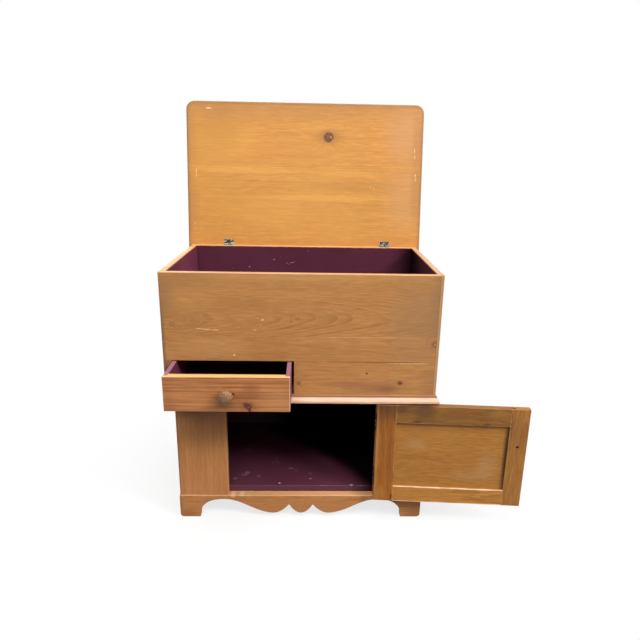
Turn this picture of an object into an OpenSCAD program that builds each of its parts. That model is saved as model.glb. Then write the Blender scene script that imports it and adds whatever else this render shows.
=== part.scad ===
// Pine dry sink: a lidded well box over a drawer, on a cupboard base with a scroll-cut apron.
// Millimetres. The origin lies on the floor, under the middle of the back face.
// +X is to the right seen from the front, +Y is towards the wall and +Z is up.
// The lid, the drawer and the door are drawn open.

/* [Well box] */
// Width of the well box over its end boards
box_w = 762; // [680:1:860]
// Depth of the well box from its front face to its back face
box_d = 451; // [410:1:520]
// Height of the well box, from the waist up to its rim
box_h = 349; // [325:1:400]
// Thickness of the boards of the well box
board_t = 16.5; // [15:0.5:20]
// Height of the top board of the front
front_top_h = 176; // [150:1:190]
// Height of the middle board of the front
front_mid_h = 72; // [50:1:85]
// Height of the upper board of the back
back_upper_h = 202; // [150:1:240]
// Thickness of the floor of the well
well_floor_t = 18; // [12:1:22]
// Depth of the housings that hold the floor of the well
housing_depth = 6; // [3:0.5:9]
// Radius worn on the edges of the rim
rim_ease = 2.5; // [1:0.5:5]

/* [Waist] */
// Thickness of the waist board and of its moulding
waist_t = 23; // [18:1:30]
// How far the moulding stands out past the box
waist_reach = 11; // [8:0.5:16]
// How far the moulding stands out past the left end of the box
waist_reach_left = 5; // [4:0.5:16]
// Height of the plain nose at the foot of the moulding
nose_h = 6; // [4:0.5:8]
// Height of the fillet along the top of the moulding
fillet_h = 4.5; // [2:0.5:7]
// How far the fillet stands out past the box
fillet_reach = 2.5; // [1:0.5:4]

/* [Cupboard] */
// How far each end of the cupboard is set in from the end of the well box
base_end_inset = 18.5; // [12:0.5:60]
// How far the cupboard's front is set back from the well box
base_setback = 18; // [8:1:30]
// Thickness of the cupboard's stiles and end boards
base_t = 20; // [16:1:24]
// Height of the cupboard from its sill up to the waist
opening_h = 316; // [260:1:360]
// Width of each front stile
stile_w = 145; // [110:1:170]
// Thickness of the vertical boards of the back
back_t = 12; // [9:1:16]
// Thickness of the cupboard floor
floor_t = 20; // [15:1:24]
// Width and height of the cleats under the waist board and the floor
cleat = 20; // [14:1:24]

/* [Apron] */
// Height of the aprons, from the floor to the sill
apron_h = 74; // [72:1:90]
// How far the aprons stand out past the stiles and end boards
apron_proud = 2; // [1:0.5:5]
// Width of a foot where it meets the floor
foot_w = 60; // [45:1:70]
// Distance from the foot's inner edge to the top of the bracket curve
bracket_run = 75; // [60:1:90]
// Height of the arch above the floor
arch_h = 61; // [52:1:61]
// Distance from the middle to the lowest point of an outer lobe
lobe_x = 83; // [70:1:95]
// Height of the lobes above the floor
lobe_z = 13.5; // [8:0.5:20]
// Distance from the middle to the point of a cusp
cusp_x = 36; // [28:1:42]
// Height of the points of the cusps above the floor
cusp_z = 43; // [36:1:50]
// Radius of the outer bottom corner of a foot
foot_ease = 11; // [4:1:16]
// Height of the corner blocks behind the feet
block_h = 44; // [30:1:46]
// Leg of the triangular corner blocks
block_leg = 34; // [24:1:42]

/* [Lid] */
// Thickness of the lid
lid_t = 20; // [16:1:24]
// Overhang of the lid past each end of the box
lid_end_over = 14; // [8:1:20]
// Overhang of the lid past the front of the box
lid_front_over = 15; // [8:1:22]
// How far the lid runs on behind its hinge pins
lid_tail = 22; // [12:1:22]
// Depth of the front board of the lid
lid_front_board_d = 198; // [140:1:240]
// Radius of the front corners of the lid
lid_corner = 28; // [20:1:60]
// Radius on the edges of the lid
lid_ease = 4; // [2:0.5:6]
// Gap between the closed lid and the rim
lid_gap = 0.8; // [0.4:0.1:1.2]
// Angle at which the open lid leans back past upright
lid_lean = 8; // [2:0.5:8]

/* [Drawer] */
// Width of the strip on the front to the left of the drawer opening
end_strip_w = 22.5; // [22:0.5:30]
// Width of the drawer opening
drawer_open_w = 337.5; // [260:0.5:345]
// Gap round the drawer front
drawer_gap = 1.5; // [1:0.5:3]
// Gap at the right of the drawer, where the wood is worn
drawer_gap_right = 6.5; // [5:0.5:8]
// Length of the drawer from its front face to its tail
drawer_len = 405; // [330:1:420]
// Thickness of the drawer front
drawer_front_t = 20; // [16:1:24]
// Thickness of the drawer's sides and back
drawer_side_t = 12; // [9:1:14]
// Thickness of wood left in front of the drawer's sides
drawer_front_lip = 8; // [5:0.5:10]
// Thickness of the drawer's bottom
drawer_bottom_t = 7; // [5:0.5:9]
// Height of the bottom's groove above the lower edge of the drawer's sides
drawer_groove_up = 9; // [6:0.5:12]
// Depth of the grooves that hold the bottom
drawer_groove_in = 5; // [3:0.5:7]
// How far the drawer is drawn out
drawer_out = 112; // [0:1:200]

/* [Door] */
// Gap between the door and the stiles
door_gap = 2; // [1.6:0.1:3]
// Gap above and below the door
door_gap_z = 2.5; // [1:0.5:4]
// Thickness of the door
door_t = 20; // [16:1:20]
// Width of the stile that carries the hinges
hinge_stile_w = 56; // [46:1:66]
// Width of the stile that carries the knob
lock_stile_w = 53; // [46:1:64]
// Height of the top rail
top_rail_h = 54; // [44:1:64]
// Height of the bottom rail
bottom_rail_h = 50; // [44:1:64]
// Width of the groove round the inside of the frame
groove_w = 7; // [5:0.5:9]
// Depth of the groove round the inside of the frame
groove_in = 11; // [6:0.5:12]
// Width of the open notch left above each tenon
tenon_set = 12; // [6:1:18]
// Height of the door's knob above the door's lower edge
door_knob_up = 193; // [120:1:220]
// Angle at which the door stands open
door_open = 176; // [90:1:178]

/* [Knobs] */
// Diameter of a knob
knob_d = 38; // [32:1:42]
// How far a knob stands out
knob_l = 29; // [24:1:34]
// Diameter of the foot of a knob
knob_foot_d = 22; // [18:1:26]
// Diameter of the neck of a knob
knob_neck_d = 16; // [14:1:18]

/* [Hinges] */
// Length of a lid hinge
lid_hinge_l = 31; // [28:1:50]
// Distance from the middle to the centre of the left lid hinge
lid_hinge_left = 258; // [200:1:300]
// Distance from the middle to the centre of the right lid hinge
lid_hinge_right = 274; // [200:1:300]
// Length of a door hinge
door_hinge_l = 50; // [40:1:60]
// Distance from the door's end to the centre of a hinge
door_hinge_in = 66; // [50:1:90]
// Width of the plate of a leaf
leaf_w = 13.5; // [12:0.5:14]
// Thickness of a leaf
leaf_t = 1.4; // [1:0.1:2]
// Outer radius of a door hinge's knuckle
door_knuckle_r = 3; // [2.6:0.1:3.4]
// Outer radius of a lid hinge's knuckle
lid_knuckle_r = 2.6; // [2.4:0.1:3]
// Radius of the hinge pins
pin_r = 1.3; // [1:0.05:1.5]
// Running clearance round a hinge pin
pin_fit = 0.05; // [0.02:0.01:0.08]

/* [Hidden] */

pine = "#B8824C";
honey = "#E0A055";
pale_pine = "#DDA97C";
plum = "#552838";
steel = "#9A9692";

// Small fixed clearances and cutting margins
over = 1;
rest_gap = 0.3;
stop_gap = 0.6;
kick_gap = 2;
panel_play = 0.2;
panel_end_play = 0.8;
arris = 1.5;
apron_ease = 3;
knuckle_end = 2;
curve_steps = 12;
back_boards = 3;

// Heights, from the floor up
sill_z = apron_h;
waist_z = sill_z + opening_h;
deck_z = waist_z + waist_t;
rim_z = deck_z + box_h;
front_mid_z = rim_z - front_top_h;
drawer_top_z = front_mid_z - front_mid_h;
well_floor_z = drawer_top_z + kick_gap;
cupboard_floor_z = sill_z + floor_t;
cleat_floor_z = sill_z - cleat;

// Places across the width and through the depth
box_x = box_w / 2;
box_in_x = box_x - board_t;
box_y = -box_d;
box_in_y = box_y + board_t;
drawer_l = -box_x + end_strip_w;
drawer_r = drawer_l + drawer_open_w;
base_x = box_x - base_end_inset;
base_in_x = base_x - base_t;
base_y = box_y + base_setback;
base_in_y = base_y + base_t;
open_x = base_x - stile_w;
apron_t = base_t + apron_proud;
apron_x = base_x + apron_proud;
apron_y = base_y - apron_proud;
bearer_h = (apron_h - arch_h) - over;
back_board_w = 2 * base_in_x / back_boards;

// The lid's pins and the door's pins
lid_pin_y = lid_knuckle_r + rest_gap;
lid_pin_z = rim_z + lid_gap / 2;
lid_z = rim_z + lid_gap;
lid_x = box_x + lid_end_over;
lid_y = box_y - lid_front_over;
lid_back_y = lid_pin_y + lid_tail;
lid_seam_y = lid_y + lid_front_board_d;
door_r = open_x - door_gap;
door_l = -door_r;
door_z = sill_z + door_gap_z;
door_top_z = waist_z - door_gap_z;
door_pin_x = open_x - door_gap / 2;
door_pin_y = base_y - door_knuckle_r - rest_gap;
door_in_y = base_y + door_t;
door_knob_x = door_l + lock_stile_w / 2;
door_knob_z = door_z + door_knob_up;
door_groove_y = base_y + (door_t - groove_w) / 2;
panel_l = door_l + lock_stile_w;
panel_r = door_r - hinge_stile_w;
panel_z = door_z + bottom_rail_h;
panel_top_z = door_top_z - top_rail_h;
door_hinge_zs = [door_z + door_hinge_in - door_hinge_l / 2,
                 door_top_z - door_hinge_in - door_hinge_l / 2];

// The drawer
drawer_z = deck_z + drawer_gap;
drawer_side_z = deck_z + rest_gap;
drawer_front_top = drawer_top_z - drawer_gap;
drawer_side_top = drawer_front_top - drawer_gap;
drawer_x0 = drawer_l + drawer_gap;
drawer_x1 = drawer_r - drawer_gap_right;
drawer_y = box_y - drawer_out;
drawer_lap_y = drawer_y + drawer_front_lip;
drawer_tail_y = drawer_y + drawer_len;
drawer_bottom_z = drawer_side_z + drawer_groove_up;
drawer_knob_x = (drawer_x0 + drawer_x1) / 2;
drawer_knob_z = (drawer_z + drawer_front_top) / 2;

// Screws: a hinge screw and the long screw that holds a knob
screw_head_r = 2.9;
screw_shank_r = 1.4;
screw_l = 13;
screw_play = 0.08;
knob_screw_head_r = 4.4;
knob_screw_r = 2;
knob_screw_sink = 9;
knob_screw_head_h = knob_screw_head_r - knob_screw_r;
knob_screw_grip = 14;

// Points of a corner at p, rounded by radius r, starting at angle a
function corner(r, p, a, n = 6) = r == 0 ? [p] :
    let (c = p - r * sqrt(2) * [cos(a + 45), sin(a + 45)])
    [for (i = [0 : n]) c + r * [cos(a + 90 * i / n), sin(a + 90 * i / n)]];

// A rectangle whose four corners are eased: lower left, lower right, upper right, upper left
function eased(w, h, r) = concat(
    corner(r[0], [0, 0], 180),
    corner(r[1], [w, 0], 270),
    corner(r[2], [w, h], 0),
    corner(r[3], [0, h], 90));

// Bars between two corners of space, with their length along one axis and eased edges
module bar_x(lo, hi, r = [0, 0, 0, 0]) {
    s = hi - lo;
    translate(lo)
        rotate([90, 0, 90])
            linear_extrude(s.x)
                polygon(eased(s.y, s.z, r));
}

module bar_y(lo, hi, r = [0, 0, 0, 0]) {
    s = hi - lo;
    translate([lo.x, hi.y, lo.z])
        rotate([90, 0, 0])
            linear_extrude(s.y)
                polygon(eased(s.x, s.z, r));
}

module bar_z(lo, hi, r = [0, 0, 0, 0]) {
    s = hi - lo;
    translate(lo)
        linear_extrude(s.z)
            polygon(eased(s.x, s.y, r));
}

// Children and their mirror image on the other side of the middle
module both_sides() {
    children();
    mirror([1, 0, 0])
        children();
}

// Keeps the outer upright corners of the well box eased
module box_outline() {
    intersection() {
        children();
        bar_z([-box_x, box_y, deck_z - over], [box_x, 0, rim_z + over], [arris, arris, arris, arris]);
    }
}

// A countersunk screw with its slotted head flush with z = 0, pointing down
module screw(head_r, shank_r, len, grow = 0) {
    head_h = head_r - shank_r;
    difference() {
        union() {
            translate([0, 0, -head_h])
                cylinder(h = head_h, r1 = shank_r + grow, r2 = head_r + grow, $fn = 32);
            translate([0, 0, -len])
                cylinder(h = len - head_h, r = shank_r + grow, $fn = 32);
            if (grow > 0)
                cylinder(h = over, r = head_r + grow, $fn = 32);
        }
        if (grow == 0)
            translate([-head_r, -0.4, -0.7])
                cube([2 * head_r, 0.8, 0.7 + over]);
    }
}

// The two places of a leaf's screws, along the pin and away from it
function leaf_screws(len, reach) = [
    for (share = [0.27, 0.73]) [reach + leaf_w * 0.56, len * share]];

// A leaf of a butt hinge. The pin stands on z; the plate faces the other leaf across the gap.
// Two leaves of a pair hold the outer knuckles or the middle one.
module leaf(len, knuckle_r, gap, outer) {
    reach = knuckle_r + rest_gap;
    knuckle_l = (len - 2 * rest_gap) / 3;
    step = knuckle_l + rest_gap;
    starts = outer ? [0, 2 * step] : [step];
    difference() {
        union() {
            translate([gap / 2, reach, 0])
                cube([leaf_t, leaf_w, len]);
            for (z = starts) {
                translate([0, 0, z])
                    cylinder(h = knuckle_l, r = knuckle_r, $fn = 40);
                translate([gap / 2, 0, z])
                    cube([leaf_t, reach + over / 2, knuckle_l]);
            }
        }
        translate([0, 0, -over])
            cylinder(h = len + 2 * over, r = pin_r + pin_fit, $fn = 40);
        leaf_fasteners(len, knuckle_r, gap, screw_play);
    }
}

// The screws of one leaf, or with grow the holes that they sit in
module leaf_fasteners(len, knuckle_r, gap, grow = 0) {
    for (p = leaf_screws(len, knuckle_r + rest_gap))
        translate([gap / 2, p[0], p[1]])
            rotate([0, -90, 0])
                screw(screw_head_r, screw_shank_r, screw_l, grow);
}

// The shallow gain in the wood that takes a leaf's plate and screws
module leaf_gain(len, knuckle_r, gap) {
    reach = knuckle_r + rest_gap;
    translate([gap / 2 - over, reach - over, 0])
        cube([leaf_t + over, leaf_w + over, len]);
    leaf_fasteners(len, knuckle_r, gap, screw_play);
}

// A hinge pin with a button head at each end of the knuckles
module pin(len) {
    translate([0, 0, -1.2])
        cylinder(h = len + 2.4, r = pin_r, $fn = 40);
    for (z = [-1.2, len])
        translate([0, 0, z])
            cylinder(h = 1.2, r = pin_r + 0.7, $fn = 40);
}

// Where the hinges lie. A leaf of the case lies on one side of the pin,
// and mirrored, the leaf of the lid or the door on the other.
module at_lid_hinges() {
    for (x = [-lid_hinge_left, lid_hinge_right])
        translate([x + lid_hinge_l / 2, lid_pin_y, lid_pin_z])
            rotate([0, 90, 180])
                children();
}

module at_door_hinges() {
    for (z = door_hinge_zs)
        translate([door_pin_x, door_pin_y, z])
            children();
}

// Turns the closed lid and the closed door to where they stand open
module lid_pose() {
    translate([0, lid_pin_y, lid_pin_z])
        rotate([-90 - lid_lean, 0, 0])
            translate([0, -lid_pin_y, -lid_pin_z])
                children();
}

module door_pose() {
    translate([door_pin_x, door_pin_y, 0])
        rotate([0, 0, door_open])
            translate([-door_pin_x, -door_pin_y, 0])
                children();
}

// The boards of the well box
module front_top_board() {
    color(pine)
        box_outline()
            bar_x([-box_x, box_y, front_mid_z], [box_x, box_in_y, rim_z], [0, 0, rim_ease, rim_ease]);
}

module front_middle_board() {
    color(pine)
        box_outline()
            bar_x([-box_x, box_y, drawer_top_z], [box_x, box_in_y, front_mid_z]);
}

module front_lower_board() {
    color(pine)
        box_outline()
            bar_x([drawer_r, box_y, deck_z], [box_x, box_in_y, drawer_top_z]);
}

module front_end_strip() {
    color(pine)
        box_outline()
            bar_z([-box_x, box_y, deck_z], [drawer_l, box_in_y, drawer_top_z]);
}

module box_end() {
    difference() {
        bar_y([box_in_x, box_in_y, deck_z], [box_x, -board_t, rim_z], [0, 0, rim_ease, rim_ease]);
        well_floor_solid();
    }
}

module box_end_left() {
    color(pine)
        mirror([1, 0, 0])
            box_end();
}

module box_end_right() {
    color(pine)
        box_end();
}

module box_back_upper() {
    color(pine)
        difference() {
            box_outline()
                bar_x([-box_x, -board_t, rim_z - back_upper_h], [box_x, 0, rim_z],
                      [0, 0, rim_ease, rim_ease]);
            at_lid_hinges()
                leaf_gain(lid_hinge_l, lid_knuckle_r, lid_gap);
        }
}

module box_back_lower() {
    color(pine)
        box_outline()
            bar_x([-box_x, -board_t, deck_z], [box_x, 0, rim_z - back_upper_h]);
}

module well_floor_solid() {
    bar_x([-box_in_x - housing_depth, box_in_y, well_floor_z],
          [box_in_x + housing_depth, -board_t, well_floor_z + well_floor_t]);
}

module well_floor() {
    color(plum)
        well_floor_solid();
}

module drawer_divider() {
    color(pine)
        bar_y([drawer_r, box_in_y, deck_z], [drawer_r + board_t, -board_t, well_floor_z]);
}

// The strips on both sides that the drawer runs between
module drawer_guide() {
    color(pine)
        for (span = [[-box_in_x, drawer_l], [drawer_x1 + drawer_gap, drawer_r]])
            bar_y([span[0], box_in_y + stop_gap, deck_z], [span[1], -board_t, deck_z + cleat]);
}

// The waist board and the moulding mitred round its front and ends
module waist_board() {
    color(pine)
        bar_x([-box_x, box_y, waist_z], [box_x, 0, deck_z]);
}

// The moulding's section: a rounded nose, an ogee, a quirk and a fillet
function moulding_section() =
    let (ogee_reach = waist_reach - fillet_reach - 1.5,
         ogee_h = waist_t - nose_h - fillet_h,
         nose_r = nose_h / 2)
    concat(
        [[0, 0]],
        corner(nose_r, [waist_reach, 0], 270),
        [for (i = [0 : curve_steps])
            let (s = i / curve_steps)
            [waist_reach - ogee_reach * (1 - cos(180 * s)) / 2, nose_h + ogee_h * s]],
        [[fillet_reach, waist_t - fillet_h]],
        corner(1, [fillet_reach, waist_t], 0),
        [[0, waist_t]]);

module waist_moulding_front() {
    left_x = -box_x - waist_reach_left;
    right_x = box_x + waist_reach;
    outer_y = box_y - waist_reach;
    color(pale_pine)
        intersection() {
            translate([left_x, box_y, waist_z])
                rotate([90, 0, 90])
                    linear_extrude(right_x - left_x)
                        polygon([for (p = moulding_section()) [-p[0], p[1]]]);
            translate([0, 0, waist_z - over])
                linear_extrude(waist_t + 2 * over)
                    polygon([[-box_x, box_y], [box_x, box_y], [right_x, outer_y], [left_x, outer_y]]);
        }
}

// An end piece stands out by its own reach, so its section is the front's, narrowed to match
// at the mitre
module waist_moulding_end(reach) {
    outer_x = box_x + reach;
    outer_y = box_y - waist_reach;
    intersection() {
        translate([box_x, 0, waist_z])
            rotate([90, 0, 0])
                linear_extrude(box_d + waist_reach)
                    polygon([for (p = moulding_section()) [p[0] * reach / waist_reach, p[1]]]);
        translate([0, 0, waist_z - over])
            linear_extrude(waist_t + 2 * over)
                polygon([[box_x, box_y], [outer_x, outer_y], [outer_x, 0], [box_x, 0]]);
    }
}

module waist_moulding_left() {
    color(pale_pine)
        mirror([1, 0, 0])
            waist_moulding_end(waist_reach_left);
}

module waist_moulding_right() {
    color(pale_pine)
        waist_moulding_end(waist_reach);
}

// The cupboard
module stile() {
    bar_z([open_x, base_y, sill_z], [base_x, base_in_y, waist_z], [arris, arris, 0, 0]);
}

module stile_left() {
    color(pine)
        mirror([1, 0, 0])
            stile();
}

module stile_right() {
    color(pine)
        difference() {
            stile();
            at_door_hinges()
                leaf_gain(door_hinge_l, door_knuckle_r, door_gap);
        }
}

module cupboard_end() {
    bar_y([base_in_x, base_in_y, sill_z], [base_x, 0, waist_z]);
}

module cupboard_end_left() {
    color(pine)
        mirror([1, 0, 0])
            cupboard_end();
}

module cupboard_end_right() {
    color(pine)
        cupboard_end();
}

module back_board(i) {
    x = -base_in_x + i * back_board_w;
    color(plum)
        bar_z([x, -back_t, sill_z], [x + back_board_w, 0, waist_z]);
}

module back_board_left() {
    back_board(0);
}

module back_board_middle() {
    back_board(1);
}

module back_board_right() {
    back_board(2);
}

module cupboard_floor() {
    color(plum)
        bar_x([-base_in_x, base_in_y + stop_gap, sill_z], [base_in_x, -back_t, cupboard_floor_z],
              [0, 0, 0, arris]);
}

// Half of the scrolled edge of the front apron, from the foot in to the middle:
// a bracket curve, a long ogee down to the outer lobe, a cusp and the middle lobe
function scroll_half() =
    let (foot_x = apron_x - foot_w, top_x = foot_x - bracket_run)
    concat(
        bracket_curve(foot_x),
        [for (i = [1 : curve_steps])
            let (s = i / curve_steps)
            [top_x - (top_x - lobe_x) * s, lobe_z + (arch_h - lobe_z) * (1 + cos(180 * s)) / 2]],
        [for (i = [1 : curve_steps / 2])
            let (s = 2 * i / curve_steps)
            [lobe_x - (lobe_x - cusp_x) * s, lobe_z + (cusp_z - lobe_z) * s * s]],
        [for (i = [curve_steps / 2 - 1 : -1 : 1])
            let (s = 2 * i / curve_steps)
            [cusp_x * s, lobe_z + (cusp_z - lobe_z) * s * s]]);

// The squarish quarter curve of a bracket foot, from the floor up to the arch
function bracket_curve(foot_x) = [
    for (i = [0 : curve_steps])
        let (a = 90 * i / curve_steps)
        [foot_x - bracket_run + bracket_run * pow(cos(a), 0.8), arch_h * pow(sin(a), 0.8)]];

// The outline of the front apron: two feet with eased outer corners and the scroll between them
module scroll_outline() {
    half = scroll_half();
    polygon(concat(
        corner(foot_ease, [-apron_x, 0], 180),
        [for (p = half) [-p[0], p[1]]],
        [[0, lobe_z]],
        [for (i = [len(half) - 1 : -1 : 0]) half[i]],
        corner(foot_ease, [apron_x, 0], 270),
        [[apron_x, apron_h], [-apron_x, apron_h]]));
}

module apron_front() {
    color(pine)
        intersection() {
            bar_x([-apron_x, apron_y, -over], [apron_x, base_in_y, apron_h], [0, 0, 0, apron_ease]);
            translate([0, base_in_y + over, 0])
                rotate([90, 0, 0])
                    linear_extrude(apron_t + 2 * over)
                        scroll_outline();
        }
}

// An end apron: two bracket feet with a straight edge between them
module apron_end() {
    front_curve = [for (p = bracket_curve(0)) [apron_y + foot_w - p[0], p[1]]];
    rear_curve = [for (i = [curve_steps : -1 : 0]) bracket_curve(-foot_w)[i]];
    intersection() {
        bar_y([base_in_x, base_in_y, -over], [apron_x, -board_t, apron_h], [0, 0, apron_ease, 0]);
        translate([base_in_x - over, 0, 0])
            rotate([90, 0, 90])
                linear_extrude(apron_t + 2 * over)
                    polygon(concat([[base_in_y, 0]], front_curve, rear_curve,
                                   [[-board_t, 0], [-board_t, apron_h], [base_in_y, apron_h]]));
    }
}

module apron_left() {
    color(pine)
        mirror([1, 0, 0])
            apron_end();
}

module apron_right() {
    color(pine)
        apron_end();
}

// The back apron is plain, with sloping cuts between its two feet
module apron_back() {
    slope_x = apron_x - foot_w;
    color(pine)
        rotate([90, 0, 0])
            linear_extrude(board_t)
                polygon([[-apron_x, 0], [-slope_x, 0], [-slope_x + arch_h, arch_h],
                         [slope_x - arch_h, arch_h], [slope_x, 0], [apron_x, 0],
                         [apron_x, apron_h], [-apron_x, apron_h]]);
}

// Cleats that hold the waist board down on the cupboard's ends
module top_cleats() {
    color(plum)
        both_sides()
            bar_y([base_in_x - cleat, base_in_y, waist_z - cleat], [base_in_x, -back_t, waist_z],
                  [arris, 0, 0, 0]);
}

// Cleats along the end aprons that carry the cupboard floor
module floor_cleats() {
    color(pine)
        both_sides()
            bar_y([base_in_x - cleat, base_in_y, cleat_floor_z], [base_in_x, -board_t, sill_z]);
}

// A thin bearer behind the front apron, between the cleats
module floor_bearer() {
    color(pine)
        bar_x([-base_in_x + cleat, base_in_y, sill_z - bearer_h],
              [base_in_x - cleat, base_in_y + cleat, sill_z]);
}

// Triangular blocks glued into the four corners behind the feet
module corner_blocks() {
    color(pine)
        both_sides()
            translate([base_in_x, 0, cleat_floor_z - block_h])
                linear_extrude(block_h)
                    for (leg = [[base_in_y, block_leg], [-board_t, -block_leg]])
                        polygon([[0, leg[0]], [-block_leg, leg[0]], [0, leg[0] + leg[1]]]);
}

// The leaves, pins and screws that stay with the case
module lid_hinge_case_leaves() {
    color(steel)
        at_lid_hinges()
            leaf(lid_hinge_l, lid_knuckle_r, lid_gap, true);
}

module lid_hinge_pins() {
    color(steel)
        at_lid_hinges()
            pin(lid_hinge_l);
}

module lid_hinge_case_screws() {
    color(steel)
        at_lid_hinges()
            leaf_fasteners(lid_hinge_l, lid_knuckle_r, lid_gap);
}

module door_hinge_case_leaves() {
    color(steel)
        at_door_hinges()
            leaf(door_hinge_l, door_knuckle_r, door_gap, true);
}

module door_hinge_pins() {
    color(steel)
        at_door_hinges()
            pin(door_hinge_l);
}

module door_hinge_case_screws() {
    color(steel)
        at_door_hinges()
            leaf_fasteners(door_hinge_l, door_knuckle_r, door_gap);
}

// The whole lid before it is parted into its two boards, drawn closed
module lid_blank() {
    ease = [lid_ease, lid_ease, lid_ease, lid_ease];
    difference() {
        intersection() {
            bar_z([-lid_x, lid_y, lid_z - over], [lid_x, lid_back_y, lid_z + lid_t + over],
                  [0, 0, lid_ease, lid_ease]);
            bar_x([-lid_x - over, lid_y, lid_z], [lid_x + over, lid_back_y, lid_z + lid_t], ease);
            bar_y([-lid_x, lid_y - over, lid_z], [lid_x, lid_back_y + over, lid_z + lid_t], ease);
        }
        both_sides()
            lid_corner_cutter();
    }
}

// Rounds a front corner of the lid and takes the edges off round it
module lid_corner_cutter() {
    translate([lid_x - lid_corner, lid_y + lid_corner, lid_z])
        intersection() {
            rotate_extrude($fn = 96)
                difference() {
                    translate([lid_corner - lid_ease, -over])
                        square([lid_corner, lid_t + 2 * over]);
                    translate([lid_corner - 3 * lid_ease, 0])
                        polygon(eased(3 * lid_ease, lid_t, [0, lid_ease, lid_ease, 0]));
                }
            translate([0, -lid_corner - 2 * over, -over])
                cube([lid_corner + 2 * over, lid_corner + 2 * over, lid_t + 2 * over]);
        }
}

// The part of the lid between two depths
module lid_slice(y0, y1) {
    intersection() {
        lid_blank();
        translate([-lid_x - over, y0, lid_z - over])
            cube([2 * (lid_x + over), y1 - y0, lid_t + 2 * over]);
    }
}

module lid_front_board() {
    color(honey)
        lid_pose()
            lid_slice(lid_y - over, lid_seam_y);
}

module lid_rear_board() {
    color(honey)
        lid_pose()
            difference() {
                lid_slice(lid_seam_y, lid_back_y + over);
                at_lid_hinges()
                    mirror([1, 0, 0]) {
                        leaf_gain(lid_hinge_l, lid_knuckle_r, lid_gap);
                        knuckle_trough();
                    }
            }
}

// The trough in the lid that clears a hinge's knuckles
module knuckle_trough() {
    side = lid_knuckle_r + rest_gap;
    translate([-over, -side, -knuckle_end])
        cube([side + over, 2 * side, lid_hinge_l + 2 * knuckle_end]);
}

module lid_hinge_lid_leaves() {
    color(steel)
        lid_pose()
            at_lid_hinges()
                mirror([1, 0, 0])
                    leaf(lid_hinge_l, lid_knuckle_r, lid_gap, false);
}

module lid_hinge_lid_screws() {
    color(steel)
        lid_pose()
            at_lid_hinges()
                mirror([1, 0, 0])
                    leaf_fasteners(lid_hinge_l, lid_knuckle_r, lid_gap);
}

// The drawer, drawn out. Both sides lap into rebates in the ends of the front.
module drawer_front() {
    color(pine)
        difference() {
            bar_x([drawer_x0, drawer_y, drawer_z], [drawer_x1, drawer_y + drawer_front_t, drawer_front_top],
                  [arris, 0, arris, arris]);
            for (x = [drawer_x0 - over, drawer_x1 - drawer_side_t])
                translate([x, drawer_lap_y, drawer_z - over])
                    cube([drawer_side_t + over, drawer_front_t, drawer_front_top - drawer_z + 2 * over]);
            drawer_bottom_solid();
            at_drawer_knob()
                knob_holes(drawer_front_t);
        }
}

module drawer_side(x) {
    color(plum)
        difference() {
            bar_y([x, drawer_lap_y, drawer_side_z], [x + drawer_side_t, drawer_tail_y, drawer_side_top],
                  [0, 0, arris, arris]);
            drawer_bottom_solid();
        }
}

module drawer_side_left() {
    drawer_side(drawer_x0);
}

module drawer_side_right() {
    drawer_side(drawer_x1 - drawer_side_t);
}

module drawer_back() {
    color(plum)
        bar_x([drawer_x0 + drawer_side_t, drawer_tail_y - drawer_side_t, drawer_bottom_z + drawer_bottom_t],
              [drawer_x1 - drawer_side_t, drawer_tail_y, drawer_side_top], [0, 0, arris, arris]);
}

// The bottom sits in grooves in the front and the sides and runs out under the back
module drawer_bottom_solid() {
    groove_x = drawer_side_t - drawer_groove_in;
    bar_x([drawer_x0 + groove_x, drawer_y + drawer_front_t - drawer_groove_in, drawer_bottom_z],
          [drawer_x1 - groove_x, drawer_tail_y, drawer_bottom_z + drawer_bottom_t]);
}

module drawer_bottom() {
    color(plum)
        drawer_bottom_solid();
}

// Puts a knob on the outer face of the drawer or of the closed door, pointing out along z
module at_drawer_knob() {
    translate([drawer_knob_x, drawer_y, drawer_knob_z])
        rotate([90, 0, 0])
            children();
}

module at_door_knob() {
    translate([door_knob_x, base_y, door_knob_z])
        rotate([90, 0, 0])
            children();
}

// A turned mushroom knob: a foot ring, a hollow neck and a domed head
module knob() {
    foot_r = knob_foot_d / 2;
    neck_r = knob_neck_d / 2;
    head_r = knob_d / 2;
    foot_h = 3;
    foot_bevel = 0.8;
    neck_z = 0.45 * knob_l;
    brim_z = 0.62 * knob_l;
    shoulder_r = foot_r - foot_bevel;
    difference() {
        rotate_extrude($fn = 72)
            polygon(concat(
                [[0, 0], [foot_r, 0], [foot_r, foot_h - foot_bevel]],
                [for (a = [0 : 18 : 90])
                    [neck_r + (shoulder_r - neck_r) * (1 - sin(a)),
                     foot_h + (neck_z - foot_h) * (1 - cos(a))]],
                [for (a = [15 : 15 : 90])
                    [neck_r + (head_r - neck_r) * sin(a), neck_z + (brim_z - neck_z) * (1 - cos(a))]],
                [for (a = [10 : 10 : 90])
                    [head_r * cos(a), brim_z + (knob_l - brim_z) * sin(a)]]));
        translate([0, 0, -over])
            cylinder(h = knob_screw_grip + over, r = knob_screw_r + screw_play, $fn = 32);
    }
}

// The screw of a knob, driven from the inner face of a board of the given thickness
module knob_screw(wood_t) {
    translate([0, 0, knob_screw_sink - wood_t])
        difference() {
            union() {
                cylinder(h = knob_screw_head_h, r1 = knob_screw_head_r, r2 = knob_screw_r, $fn = 32);
                cylinder(h = wood_t - knob_screw_sink + knob_screw_grip, r = knob_screw_r, $fn = 32);
            }
            translate([-knob_screw_head_r, -0.5, -over])
                cube([2 * knob_screw_head_r, 1, over + 0.8]);
        }
}

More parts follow.
